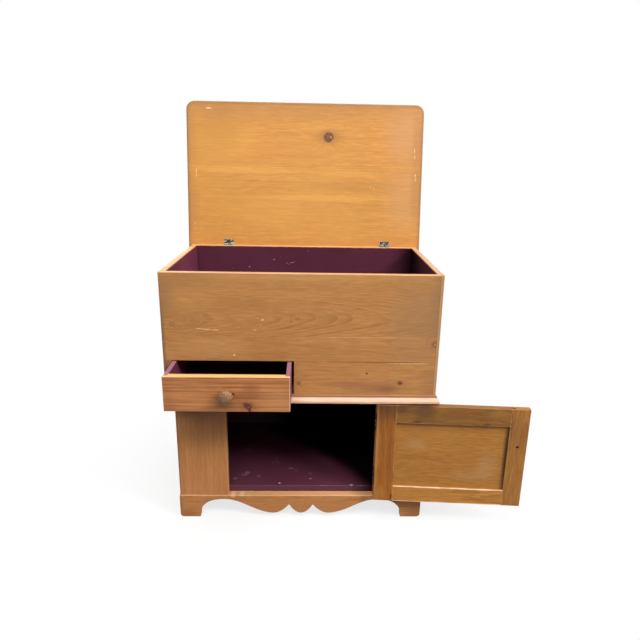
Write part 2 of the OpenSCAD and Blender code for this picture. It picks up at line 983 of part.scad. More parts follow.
// The sunk hole that the knob's screw passes through
module knob_holes(wood_t) {
    translate([0, 0, -wood_t - over])
        cylinder(h = wood_t + 2 * over, r = knob_screw_r + screw_play, $fn = 32);
    translate([0, 0, -wood_t - over])
        cylinder(h = knob_screw_sink + over, r = knob_screw_head_r + screw_play, $fn = 32);
    translate([0, 0, knob_screw_sink - wood_t])
        cylinder(h = knob_screw_head_h, r1 = knob_screw_head_r + screw_play,
                 r2 = knob_screw_r + screw_play, $fn = 32);
}

module drawer_knob() {
    color(pale_pine)
        at_drawer_knob()
            knob();
}

module drawer_knob_screw() {
    color(steel)
        at_drawer_knob()
            knob_screw(drawer_front_t);
}

// The framed door, worked out closed and turned open. The grooves run the whole length of
// both stiles, so each shows as a notch at the ends, where the tenons are set in.
module groove_solid(x0, x1, z0, z1) {
    translate([x0, door_groove_y, z0])
        cube([x1 - x0, groove_w, z1 - z0]);
}

module door_hinge_stile() {
    color(pine)
        door_pose()
            difference() {
                bar_z([panel_r, base_y, door_z], [door_r, door_in_y, door_top_z], [0, arris, arris, 0]);
                groove_solid(panel_r - over, panel_r + groove_in, door_z - over, door_top_z + over);
                at_door_hinges()
                    mirror([1, 0, 0])
                        leaf_gain(door_hinge_l, door_knuckle_r, door_gap);
            }
}

module door_lock_stile() {
    color(pine)
        door_pose()
            difference() {
                bar_z([door_l, base_y, door_z], [panel_l, door_in_y, door_top_z], [arris, 0, 0, arris]);
                groove_solid(panel_l - groove_in, panel_l + over, door_z - over, door_top_z + over);
                at_door_knob()
                    knob_holes(door_t);
            }
}

// A rail between two heights, with a stub tenon at each end and a groove for the panel
module door_rail(z0, z1, tenon_z0, tenon_z1, groove_z0) {
    difference() {
        union() {
            bar_x([panel_l, base_y, z0], [panel_r, door_in_y, z1]);
            groove_solid(panel_l - groove_in, panel_r + groove_in, tenon_z0, tenon_z1);
        }
        groove_solid(panel_l - groove_in - over, panel_r + groove_in + over,
                     groove_z0, groove_z0 + groove_in + over);
    }
}

module door_top_rail() {
    color(pine)
        door_pose()
            door_rail(panel_top_z, door_top_z, panel_top_z + groove_in, door_top_z - tenon_set,
                      panel_top_z - over);
}

module door_bottom_rail() {
    color(pine)
        door_pose()
            door_rail(door_z, panel_z, door_z + tenon_set, panel_z - groove_in, panel_z - groove_in);
}

module door_panel() {
    inset = groove_in - panel_end_play;
    color(pine)
        door_pose()
            bar_x([panel_l - inset, door_groove_y + panel_play, panel_z - inset],
                  [panel_r + inset, door_groove_y + groove_w - panel_play, panel_top_z + inset]);
}

module door_knob() {
    color(pale_pine)
        door_pose()
            at_door_knob()
                knob();
}

module door_knob_screw() {
    color(steel)
        door_pose()
            at_door_knob()
                knob_screw(door_t);
}

module door_hinge_door_leaves() {
    color(steel)
        door_pose()
            at_door_hinges()
                mirror([1, 0, 0])
                    leaf(door_hinge_l, door_knuckle_r, door_gap, false);
}

module door_hinge_door_screws() {
    color(steel)
        door_pose()
            at_door_hinges()
                mirror([1, 0, 0])
                    leaf_fasteners(door_hinge_l, door_knuckle_r, door_gap);
}

front_top_board();
front_middle_board();
front_lower_board();
front_end_strip();
box_end_left();
box_end_right();
box_back_upper();
box_back_lower();
well_floor();
drawer_divider();
drawer_guide();
waist_board();
waist_moulding_front();
waist_moulding_left();
waist_moulding_right();
stile_left();
stile_right();
cupboard_end_left();
cupboard_end_right();
back_board_left();
back_board_middle();
back_board_right();
cupboard_floor();
apron_front();
apron_left();
apron_right();
apron_back();
top_cleats();
floor_cleats();
floor_bearer();
corner_blocks();
lid_hinge_case_leaves();
lid_hinge_pins();
lid_hinge_case_screws();
door_hinge_case_leaves();
door_hinge_pins();
door_hinge_case_screws();
lid_front_board();
lid_rear_board();
lid_hinge_lid_leaves();
lid_hinge_lid_screws();
drawer_front();
drawer_side_left();
drawer_side_right();
drawer_back();
drawer_bottom();
drawer_knob();
drawer_knob_screw();
door_hinge_stile();
door_lock_stile();
door_top_rail();
door_bottom_rail();
door_panel();
door_knob();
door_knob_screw();
door_hinge_door_leaves();
door_hinge_door_screws();
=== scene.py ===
# %% [markdown]
# # A pine dry sink, photographed open
#
# This is an old kitchen cupboard: a deep well box with a lifting lid over one drawer, on a
# small cupboard with one framed door and scroll-cut feet. The boards, joints and hinges come
# in as finished solids. What is left to do here is what the eye reads first: the wood and
# its grain, the old plum paint, the worn edges, the knobs and the light.
#
# We start by loading the solids.

# %% Load the solids
import math
import bpy
from mathutils import Matrix, Vector


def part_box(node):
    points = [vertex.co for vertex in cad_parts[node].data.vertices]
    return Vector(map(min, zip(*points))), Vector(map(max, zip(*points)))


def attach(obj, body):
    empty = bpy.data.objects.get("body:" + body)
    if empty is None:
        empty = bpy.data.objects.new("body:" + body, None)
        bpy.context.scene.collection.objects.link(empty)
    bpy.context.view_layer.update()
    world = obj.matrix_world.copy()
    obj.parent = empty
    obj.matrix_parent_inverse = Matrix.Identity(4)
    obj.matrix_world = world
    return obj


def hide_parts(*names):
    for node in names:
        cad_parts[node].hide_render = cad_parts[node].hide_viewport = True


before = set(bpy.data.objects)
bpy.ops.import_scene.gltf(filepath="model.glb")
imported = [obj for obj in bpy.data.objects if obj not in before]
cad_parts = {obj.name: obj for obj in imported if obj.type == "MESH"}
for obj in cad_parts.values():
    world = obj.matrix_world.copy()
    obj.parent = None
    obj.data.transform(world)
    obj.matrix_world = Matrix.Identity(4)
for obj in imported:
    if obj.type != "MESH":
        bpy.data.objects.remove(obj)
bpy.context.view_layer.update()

MM = 0.001


# %% [markdown]
# ## The camera
#
# A camera can be found again from a picture of a box: its edges meet at vanishing points,
# and these give the lens and the tilt. Worked out that way, the picture was taken from
# standing height close in front, looking down by sixteen degrees. The lens is set from the
# focal length in picture widths, and the rest is a turned frame of three axes.

# %% Place the camera
PICTURE = 640
SENSOR_MM = 36.0
focal_px, centre_px = 555.9, (326.9, 312.2)
pitch, yaw, roll = math.radians(16.28), math.radians(1.652), math.radians(1.082)
standing_place = (0.0259, -1.8939, 1.0782)

camera_data = bpy.data.cameras.new("Camera")
camera_data.sensor_width = SENSOR_MM
camera_data.lens = SENSOR_MM * focal_px / PICTURE
camera_data.shift_x = (PICTURE / 2 - centre_px[0]) / PICTURE
camera_data.shift_y = (centre_px[1] - PICTURE / 2) / PICTURE
forward = Vector((math.sin(yaw) * math.cos(pitch), math.cos(yaw) * math.cos(pitch), -math.sin(pitch)))
level = Vector((math.cos(yaw), -math.sin(yaw), 0))
upward = level.cross(forward)
right = level * math.cos(roll) + upward * math.sin(roll)
above = upward * math.cos(roll) - level * math.sin(roll)
camera = bpy.data.objects.new("Camera", camera_data)
turned = Matrix((right, above, -forward)).transposed().to_4x4()
camera.matrix_world = Matrix.Translation(standing_place) @ turned
bpy.context.scene.collection.objects.link(camera)
bpy.context.scene.camera = camera
print("lens", round(camera_data.lens, 2), "mm")


# %% [markdown]
# ## Light and floor
#
# Broad light from straight above makes every edge that faces up glow, lets the drawer
# darken the stile below it, and leaves the back of the cupboard black; painted shade in
# the finishes adds to both. The lamp on the right lights the left wall of the well and
# shades the right one, and their paint is painted lighter and darker to match. A weak lamp
# behind lights only the back, because the leaning lid keeps it off everything that we see
# from the front.

# %% Soft studio light
bpy.context.scene.view_settings.view_transform = "Standard"


def soft_lamp(name, place, aim, size, power):
    """A square lamp at a place, turned towards a point, in metres and watts."""
    data = bpy.data.lights.new(name, "AREA")
    data.size = size
    data.energy = power
    lamp = bpy.data.objects.new(name, data)
    lamp.location = place
    lamp.rotation_euler = (Vector(aim) - Vector(place)).to_track_quat("-Z", "Y").to_euler()
    bpy.context.scene.collection.objects.link(lamp)


AIM = (0, -0.3, 0.5)
soft_lamp("Light above", (0.4, -2.8, 6.5), AIM, 4.6, 400)
soft_lamp("Light on the right", (5.2, -3.8, 5.0), AIM, 1.7, 400)
soft_lamp("Light in front", (-1.6, -5.6, 6.2), AIM, 3.4, 150)
soft_lamp("Light behind", (-0.9, 4.6, 3.2), (0, -0.2, 0.6), 3.0, 115)
print("four lamps")


# %% [markdown]
# Node trees soon get long when each node is made by hand. A small helper that adds a node,
# sets its sockets and hands back its output keeps every finish below short enough to read.

# %% A helper that wires nodes
class Wires:
    """Adds and joins the nodes of one tree."""

    def __init__(self, tree):
        self.tree = tree
        tree.nodes.clear()

    def put(self, socket, value):
        if isinstance(value, bpy.types.NodeSocket):
            self.tree.links.new(value, socket)
        elif value is not None:
            socket.default_value = value

    def add(self, kind, inputs=None, **settings):
        node = self.tree.nodes.new("ShaderNode" + kind)
        for key, value in settings.items():
            setattr(node, key, value)
        for key, value in (inputs or {}).items():
            self.put(node.inputs[key], value)
        return node

    def math(self, operation, a, b=None, c=None):
        return self.add("Math", {0: a, 1: b, 2: c}, operation=operation).outputs[0]

    def times(self, a, b):
        return self.math("MULTIPLY", a, b)

    def vector(self, operation, a, b=None):
        node = self.add("VectorMath", {0: a, 1: b}, operation=operation)
        return node.outputs["Value" if operation == "LENGTH" else "Vector"]

    def step(self, value, low, high, to_low=0.0, to_high=1.0):
        inputs = {"Value": value, "From Min": low, "From Max": high, "To Min": to_low, "To Max": to_high}
        return self.add("MapRange", inputs, interpolation_type="SMOOTHSTEP").outputs[0]

    def noise(self, vector, scale, detail=2.0, output="Fac"):
        return self.add("TexNoise", {"Vector": vector, "Scale": scale, "Detail": detail}).outputs[output]

    def mix(self, factor, a, b, blend="MIX"):
        """Mixes two colours. Sockets 6 and 7 are the ones for colours, and so is output 2."""
        node = self.add("Mix", {0: factor, 6: a, 7: b}, data_type="RGBA", blend_type=blend)
        return node.outputs[2]

    def stain(self, tone, over, value, low, high, to_low=0.0, to_high=1.0):
        """The tone with a colour over it, by a share that follows a value."""
        return self.mix(self.step(value, low, high, to_low, to_high), tone, over)

    def stretch(self, vector, scale, move=(0, 0, 0)):
        return self.add("Mapping", {"Vector": vector, "Location": move, "Scale": scale}).outputs[0]

    def moved(self, vector, move):
        return self.stretch(vector, (1, 1, 1), move)

    def sway(self, value, noise, span):
        """A value that a noise moves up and down, by at most half of the span."""
        return self.math("ADD", value, self.math("MULTIPLY_ADD", noise, span, -span / 2))

    def between(self, share, a, b):
        """A number that goes from a to b."""
        return self.math("ADD", self.times(self.math("SUBTRACT", b, a), share), a)

    def long_side(self, a, b):
        """The long side of a right triangle."""
        return self.math("SQRT", self.math("ADD", self.times(a, a), self.times(b, b)))

    def surface(self, tone, rough, height, strength, relief, shine=None, metal=None):
        """Closes a finish with its colour, roughness and relief, and the shader's shine and metal."""
        bump = self.add("Bump", {"Strength": strength, "Distance": relief, "Height": height})
        inputs = {"Base Color": tone, "Roughness": rough, "Normal": bump.outputs[0],
                  "Specular IOR Level": shine, "Metallic": metal}
        shader = self.add("BsdfPrincipled", inputs)
        self.add("OutputMaterial", {"Surface": shader.outputs[0]})


print("wires ready")


# %% A finish and its colours
def new_finish(name):
    """An empty material and the wires of its tree."""
    finish = bpy.data.materials.new(name)
    finish.use_nodes = True
    return finish, Wires(finish.node_tree)


def colour(rgb, gain=1.0):
    return (rgb[0] * gain, rgb[1] * gain, rgb[2] * gain, 1.0)


print("white is", colour((1, 1, 1)))


# %% [markdown]
# The background is made white only for the rays that come from the camera or from a
# gloss, so that it adds no light to the wood. The floor does the same further out. Close
# to the feet a part of it stays a plain surface, which keeps the sink's shadow.

# %% White surroundings
ROOM_LIGHT = 0.13
FLOOR_RADIUS = 9.0
UNDER_THE_FEET = -0.0005
SINK_MIDDLE = 0.22
SHADOW_START, SHADOW_END, GLOW_AT_FEET = 0.32, 0.86, 0.76
world = bpy.data.worlds.new("Pale room")
bpy.context.scene.world = world
world.use_nodes = True
w = Wires(world.node_tree)
rays = w.add("LightPath")
seen = w.math("MAXIMUM", w.math("MAXIMUM", rays.outputs["Is Camera Ray"], rays.outputs["Is Glossy Ray"]),
              rays.outputs["Is Transmission Ray"])
strength = w.math("MULTIPLY_ADD", seen, 1 - ROOM_LIGHT, ROOM_LIGHT)
room = w.add("Background", {"Color": colour((1, 1, 1)), "Strength": strength})
w.add("OutputWorld", {"Surface": room.outputs[0]})

bpy.ops.object.select_all(action="DESELECT")
bpy.ops.mesh.primitive_circle_add(
    vertices=96, radius=FLOOR_RADIUS, fill_type="NGON", location=(0, 0, UNDER_THE_FEET))
floor = bpy.context.active_object
floor.name = "Floor"
bpy.ops.object.transform_apply(location=True, rotation=True, scale=True)
floor_finish, w = new_finish("Pale floor")
rays = w.add("LightPath")
place = w.add("TexCoord").outputs["Object"]
from_the_sink = w.vector("LENGTH", w.vector("ADD", place, (0, SINK_MIDDLE, 0)))
away = w.step(from_the_sink, SHADOW_START, SHADOW_END, GLOW_AT_FEET, 1.0)
seen = w.times(w.math("MAXIMUM", rays.outputs["Is Camera Ray"], rays.outputs["Is Glossy Ray"]), away)
ground = w.mix(rays.outputs["Is Camera Ray"], colour((0.22, 0.2, 0.18)), colour((0.8, 0.79, 0.78)))
shade = w.add("BsdfDiffuse", {"Color": ground})
glow = w.add("Emission", {"Color": colour((1, 1, 1)), "Strength": 1.0})
both = w.add("MixShader", {0: seen, 1: shade.outputs[0], 2: glow.outputs[0]})
w.add("OutputMaterial", {"Surface": both.outputs[0]})
floor.data.materials.append(floor_finish)
print("floor and surroundings")


# %% [markdown]
# ## How wood grain comes about
#
# A trunk grows in rings round its heart. A board is a flat slice through those rings, so
# its figure is only the distance to the heart, cut into even steps. Where the heart runs at
# a slant behind the board, the rings cut its face in tall arches, and where a branch stood,
# they bend round it. The finish below measures that distance in space, so the figure on a
# face and on the end of the same board belong together.
#
# Each board is measured in its own closed place, also where the lid or the door is drawn
# open, so we first need the turn that shuts them.

# %% Turns that shut the lid and the door
def box_middle(node):
    low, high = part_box(node)
    return (low + high) / 2


LID_PIN = box_middle("lid_hinge_pins")
DOOR_PIN = box_middle("door_hinge_pins")
LID_SWING, DOOR_SWING = math.radians(98), math.radians(-176)
SHUT = {"lid": ((LID_SWING, 0, 0), LID_PIN), "door": ((0, 0, DOOR_SWING), DOOR_PIN)}


def shut_matrix(body):
    """The movement from the drawn place to the shut place."""
    if body not in SHUT:
        return Matrix.Identity(4)
    angles, pin = SHUT[body]
    turn = Matrix.Rotation(angles[0], 4, "X") @ Matrix.Rotation(angles[2], 4, "Z")
    return Matrix.Translation(pin) @ turn @ Matrix.Translation(-pin)


def box_round(spots):
    """The low and high corner of the box round some points."""
    return (Vector([min(p[i] for p in spots) for i in range(3)]),
            Vector([max(p[i] for p in spots) for i in range(3)]))


def shut_box(node, body):
    """The box of a solid when its body is shut."""
    turn = shut_matrix(body)
    return box_round([turn @ v.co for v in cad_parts[node].data.vertices])


def shut_span(nodes, body="case"):
    """The box round several solids when their body is shut."""
    return box_round([corner for node in nodes for corner in shut_box(node, body)])


LID = shut_span(("lid_front_board", "lid_rear_board"), "lid")
WELL = shut_span(
    ("front_top_board", "front_lower_board", "front_end_strip", "box_back_upper", "box_back_lower"))
print("the shut lid starts at", [round(v, 3) for v in LID[0]])


# %% [markdown]
# The old plum paint was brushed on the inside only: in the well, in the cupboard and on the
# drawer's sides. So most boards are bare outside and painted inside. A box that ends just
# past the painted faces tells the finish where the paint is, and a little noise on its
# border keeps the edge hand-painted.

# %% Where the paint is
HAIR = 0.0006
BARE_RIM, BARE_TOP, UNDERSIDE = 0.0035, 0.002, 0.003


def space(left, right, front, back, bottom, top):
    """The space between six solids, grown by a hair so that it takes in the faces round it."""
    low = (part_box(left)[1].x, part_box(front)[1].y, bottom)
    high = (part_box(right)[0].x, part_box(back)[0].y, top)
    return Vector(low) - Vector((HAIR, HAIR, 0)), Vector(high) + Vector((HAIR, HAIR, 0))


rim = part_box("front_top_board")[1].z
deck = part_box("waist_board")[1].z
box_walls = ("box_end_left", "box_end_right", "front_top_board", "box_back_upper")
PAINTED = {
    "well": space(*box_walls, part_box("well_floor")[0].z, rim - BARE_RIM),
    "bay": space(*box_walls, deck - HAIR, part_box("well_floor")[1].z),
    "cupboard": space("cupboard_end_left", "cupboard_end_right", "stile_left", "back_board_left",
                      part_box("cupboard_floor")[0].z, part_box("waist_board")[0].z + HAIR),
    "drawer": space("drawer_side_left", "drawer_side_right", "drawer_front", "drawer_back",
                    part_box("drawer_bottom")[0].z - UNDERSIDE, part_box("drawer_back")[1].z - BARE_TOP),
}


def past_faces(w, place, low, high):
    """How far a place lies past the faces of a box along x, y and z, below 0 inside it."""
    off = w.vector("ABSOLUTE", w.vector("SUBTRACT", place, tuple((low + high) / 2)))
    return w.add("SeparateXYZ", {0: w.vector("SUBTRACT", off, tuple((high - low) / 2))}).outputs


def in_boxes(w, place, names):
    """1 inside any of the named boxes, 0 outside, with a slightly uneven border."""
    uneven = w.vector("SUBTRACT", w.noise(place, 90, 2, "Color"), (0.5, 0.5, 0.5))
    place = w.vector("ADD", place, w.vector("MULTIPLY", uneven, (HAIR, HAIR, 5 * HAIR)))
    inside = None
    for name in names:
        a, b, c = past_faces(w, place, *PAINTED[name])
        here = w.math("LESS_THAN", w.math("MAXIMUM", w.math("MAXIMUM", a, b), c), 0.0)
        inside = here if inside is None else w.math("MAXIMUM", inside, here)
    return inside


print("painted spaces:", ", ".join(PAINTED))


# %% [markdown]
# Paint is more than a colour. Brush marks run along the board, dust and light chips sit on
# it, and it takes a faint shine where it was rubbed. The same few nodes serve the boards
# that are painted all over and those that are painted on one side.

# %% Plum paint
PLUM = (0.112, 0.0236, 0.0465)
BRUSHED = (0.15, 0.038, 0.066)
DUST = (0.36, 0.22, 0.24)


def plum_paint(w, place, grain, seed, gain=1.0):
    """Colour, roughness and brush marks of the paint at a place."""
    clouds = w.noise(w.moved(place, (seed, 0, 0)), 7.0, 3)
    brush = w.noise(w.stretch(grain, (6, 260, 260), (seed, seed, 0)), 1.0, 2)
    tone = w.stain(colour(PLUM, 0.90 * gain), colour(PLUM, 1.08 * gain), clouds, 0.3, 0.7)
    tone = w.stain(tone, colour(BRUSHED, gain), brush, 0.35, 0.75, 0.0, 0.25)
    cells = w.add("TexVoronoi", {"Vector": place, "Scale": 34.0}, feature="F1")
    chip = w.math("LESS_THAN", cells.outputs["Distance"], 0.036)
    patch = w.step(w.noise(w.moved(place, (0, seed, 0)), 6.0, 1), 0.6, 0.66, 0.0, 0.6)
    tone = w.mix(w.times(chip, patch), tone, colour(DUST))
    return tone, w.step(clouds, 0.2, 0.8, 0.46, 0.66), brush


print("plum", PLUM)


# %% [markdown]
# ## The pine
#
# One function makes the finish of any board. It is told which way the grain runs, where
# the heart lies, the two tones of the wood, and what a life in a kitchen left on it:
# knots, pale rubs and scratches, and edges worn light. It also paints in some shade and
# light: broad painted shades, dark edges and painted shade in the paint's corners.

# %% Spots, shades and painted shade in corners
PINE = ((0.5, 0.238, 0.072), (0.33, 0.14, 0.038))
HONEY = ((0.6, 0.277, 0.058), (0.45, 0.18, 0.032))
EDGE = (0.78, 0.43, 0.2)
KNOT = (0.2, 0.075, 0.034)
KNOT_EYE = (0.075, 0.022, 0.011)
PAINTED_SHADE_BLACK = (0.002, 0.001, 0.001)
PAINTED_SHADE_LEFT, PAINTED_SHADE_RIGHT = -0.22, -0.04


def spot_distance(w, along, across, spot):
    """How many of its own radii a place lies from a spot (along, across, radius, stretch)."""
    x = w.math("DIVIDE", w.math("SUBTRACT", along, spot[0] * MM), spot[2] * spot[3] * MM)
    y = w.math("DIVIDE", w.math("SUBTRACT", across, spot[1] * MM), spot[2] * MM)
    return w.long_side(x, y)


def with_spots(w, tone, along, across, ragged, spots):
    """Small rubs, chips and scratches: (along, across, radius, stretch, colour, share) in mm."""
    for spot in spots:
        far = w.sway(spot_distance(w, along, across, spot), ragged, 1.6)
        tone = w.stain(tone, colour(spot[4]), far, 0.75, 1.05, spot[5], 0.0)
    return tone


def with_shades(w, tone, along, across, shades):
    """Broad darker or lighter areas, told as spots are, which fade out softly: some are tone in the wood,
    some painted shade or painted light.
    """
    for shade in shades:
        far = spot_distance(w, along, across, shade)
        tone = w.stain(tone, colour(shade[4]), far, 0.25, 1.3, shade[5], 0.0)
    return tone


def with_gloom(w, tone, axes, gloom, shine):
    """Painted shade: the paint goes dark towards a corner where little light reaches, and so does its shine.

    Painted shade is (how dark at the left, how dark at the right, slopes). A slope is (share of x,
    share of y, from mm, to mm), and it is dark where one of the slopes says so."""
    if not gloom:
        return tone, shine
    left, right, slopes = gloom
    clear = 1.0
    for share_x, share_y, start, end in slopes:
        reach = w.math("MULTIPLY_ADD", axes[1], share_y, w.times(axes[0], share_x))
        clear = w.times(w.step(reach, start * MM, end * MM, 1.0, 0.0), clear)
    share = w.times(w.step(axes[0], PAINTED_SHADE_LEFT, PAINTED_SHADE_RIGHT, left, right), w.math("SUBTRACT", 1.0, clear))
    return w.mix(share, tone, colour(PAINTED_SHADE_BLACK)), w.math("MULTIPLY_ADD", share, -shine, shine)


print("pine", PINE[0], "honey", HONEY[0])


# %% [markdown]
# The figure comes first. The heart wanders a little and may dive away behind the board,
# each knot swells the rings round it, and no two years are of the same width or strength.
# Of each year only the late part is drawn, which is the dark line.

# %% Rings of growth
BELL, BELL_FALL = 2.718, -0.16


def growth_rings(w, ways, grain, middle, heart, lean, ring, dive, band, knots, seed):
    """How much late wood shows at a place, and how many radii it lies from each knot."""
    along, through, across = ways
    wander = w.noise(w.stretch(grain, (1.6, 7, 7), (seed, 0, seed)), 1.0, 2, "Color")
    wander = w.add("SeparateXYZ", {0: wander}).outputs
    slant = w.math("MULTIPLY_ADD", along, lean, heart[0] * MM - lean * middle[0])
    if dive:
        slant = w.math("ADD", slant, w.step(along, dive[0] * MM, dive[1] * MM, -dive[2] * MM, 0.0))
    deep = w.sway(w.math("ADD", w.math("SUBTRACT", slant, middle[1]), through), wander[0], 26 * MM)
    wide = w.sway(w.math("ADD", across, -middle[2] - heart[1] * MM), wander[1], 30 * MM)
    radius = w.long_side(deep, wide)

    # Knots push the rings outwards and make them bolder
    far_from = []
    bold = 1.0
    for knot in knots:
        far = spot_distance(w, along, across, knot)
        swell = w.math("POWER", BELL, w.times(w.times(far, far), BELL_FALL))
        radius = w.math("ADD", radius, w.times(swell, knot[2] * 1.5 * MM))
        bold = w.math("MULTIPLY_ADD", swell, knot[4], bold)
        far_from.append(far)

    # Years of uneven width and strength
    uneven = w.noise(w.add("CombineXYZ", {0: radius, 1: seed}).outputs[0], 45.0, 1)
    radius = w.math("ADD", radius, w.times(uneven, ring * 1.4 * MM))
    wobble = w.noise(w.stretch(grain, (14, 60, 60), (seed, 2, seed)), 1.0, 3)
    years = w.math("DIVIDE", w.sway(radius, wobble, 5 * MM), ring * MM)
    turned = w.math("FRACT", years)
    strength = w.add("TexWhiteNoise", {"W": w.math("FLOOR", years)}, noise_dimensions="1D").outputs["Value"]
    line = w.times(w.step(turned, 0.5, 0.9), w.step(turned, 0.92, 1.0, 1.0, 0.0))
    broad = w.times(w.step(turned, 0.0, 0.86), w.step(turned, 0.9, 1.0, 1.0, 0.0))
    late = w.math("ADD", w.times(line, 0.75), w.times(broad, 0.35))
    late = w.times(late, w.math("MULTIPLY_ADD", strength, 0.95, 0.35))
    fade = w.noise(w.stretch(grain, (5, 22, 22), (3, seed, 0)), 1.0, 2)
    late = w.times(late, w.step(fade, 0.32, 0.62, 0.35, 1.15))
    late = w.times(late, bold)
    if band:
        away = w.math("ABSOLUTE", wide)
        late = w.times(late, w.step(away, band[0] * MM, band[1] * MM, 1.0, 0.35))
    return late, far_from


print("rings")


# %% [markdown]
# Between its rings, wood is never one colour. Fibres, streaks, hair lines and mottled
# patches all run along the board, each drawn far longer than wide. A knot has a body with
# a dark eye, and a halo of stained wood round it.

# %% Fibres, streaks and knots
def wood_tones(w, grain, late, tones, gain, figure, mottle, lines, seed):
    """The bare wood's colour, and its noises of fibres, streaks and clouds."""
    light, dark = tones
    redder = (light[0], light[1] * 0.82, light[2] * 0.75)
    fibre = w.noise(w.stretch(grain, (22, 900, 900), (seed, 0, 0)), 1.0, 1)
    streak = w.noise(w.stretch(grain, (2.2, 48, 48), (0, seed, 0)), 1.0, 3)
    cloud = w.noise(w.stretch(grain, (3.2, 6, 6), (seed, 1, 2)), 1.0, 2)
    tone = w.mix(w.times(late, figure), colour(light, gain), colour(dark, gain))
    tone = w.stain(tone, colour(dark, gain * 1.15), streak, 0.3, 0.72, 0.0, 0.42)
    tone = w.stain(tone, colour(redder, gain), cloud, 0.34, 0.7, 0.0, 0.3)
    fleck = w.step(fibre, 0.25, 0.75, 0.86, 1.1)
    tone = w.mix(1.0, tone, w.add("CombineXYZ", {0: fleck, 1: fleck, 2: fleck}).outputs[0], "MULTIPLY")
    if lines:
        hair = w.noise(w.stretch(grain, (3.4, 190, 190), (seed, 4, seed)), 1.0, 2)
        tone = w.stain(tone, colour(dark, gain * 0.92), hair, 0.38, 0.5, lines, 0.0)
        tone = w.stain(tone, colour(light, gain * 1.35), hair, 0.53, 0.64, 0.0, lines * 0.7)
    blotch = w.noise(w.stretch(grain, (30, 205, 205), (seed, 5, seed)), 1.0, 3)
    tone = w.stain(tone, colour(dark, gain * 1.05), blotch, 0.36, 0.52, mottle * 0.55, 0.0)
    tone = w.stain(tone, colour(light, gain * 1.22), blotch, 0.52, 0.68, 0.0, mottle * 0.45)
    return tone, fibre, streak, cloud


def with_knots(w, tone, crumbly, knots, far_from, dark, gain):
    """Knots: (along, across, radius, stretch, share) in mm, and maybe the colour of the body."""
    for knot, far in zip(knots, far_from):
        far = w.sway(far, crumbly, 0.9)
        tone = w.stain(tone, colour(dark, 0.62 * gain), far, 0.7, 2.4, 0.34 * knot[4], 0.0)
        body = colour(knot[5] if len(knot) > 5 else KNOT, gain)
        body = w.stain(body, colour(KNOT_EYE, gain), far, 0.1, 0.62)
        tone = w.stain(tone, body, far, 0.86, 1.12, knot[4], 0.0)
    return tone


print("streaks and knots")


# %% [markdown]
# Wear goes where hands, cloths and table tops reach it. A face past a plane, such as the
# rim, is scrubbed pale. Near an edge two of a place's three distances to the faces are
# small, so the second of them tells how far the edge is, also round a corner. The same
# edge band carries a painted shade where the edge colour is dark, as on the lid.

# %% Scrubbed faces, worn edges and painted edge shade
def with_faces(w, tone, axes, patchy, streak, faces):
    """Faces past a plane: (axis, place of the plane, colour, share)."""
    for letter, at, rgb, share in faces:
        past = w.sway(w.math("SUBTRACT", axes["xyz".index(letter)], at), patchy, 1.6 * MM)
        streaky = w.stain(colour(rgb), colour(rgb, 0.84), streak, 0.3, 0.7, 0.0, 0.5)
        tone = w.stain(tone, streaky, past, -0.3 * MM, 0.5 * MM, 0.0, share)
    return tone


def from_edge(w, place, low, high, corner=None):
    """How far past a box's nearest edge a place lies, with round corners if asked."""
    a, b, c = past_faces(w, place, low, high)
    if not corner:
        return w.math("MAXIMUM", w.math("MINIMUM", a, b), w.math("MINIMUM", w.math("MAXIMUM", a, b), c))
    out_a, out_b = (w.math("MAXIMUM", w.math("ADD", side, corner * MM), 0.0) for side in (a, b))
    deep_in = w.math("MINIMUM", w.math("ADD", w.math("MAXIMUM", a, b), corner * MM), 0.0)
    return w.math("SUBTRACT", w.math("ADD", w.long_side(out_a, out_b), deep_in), corner * MM)


print("wear")


# %% [markdown]
# Now the parts come together in one finish, and a board is dressed in a single call.

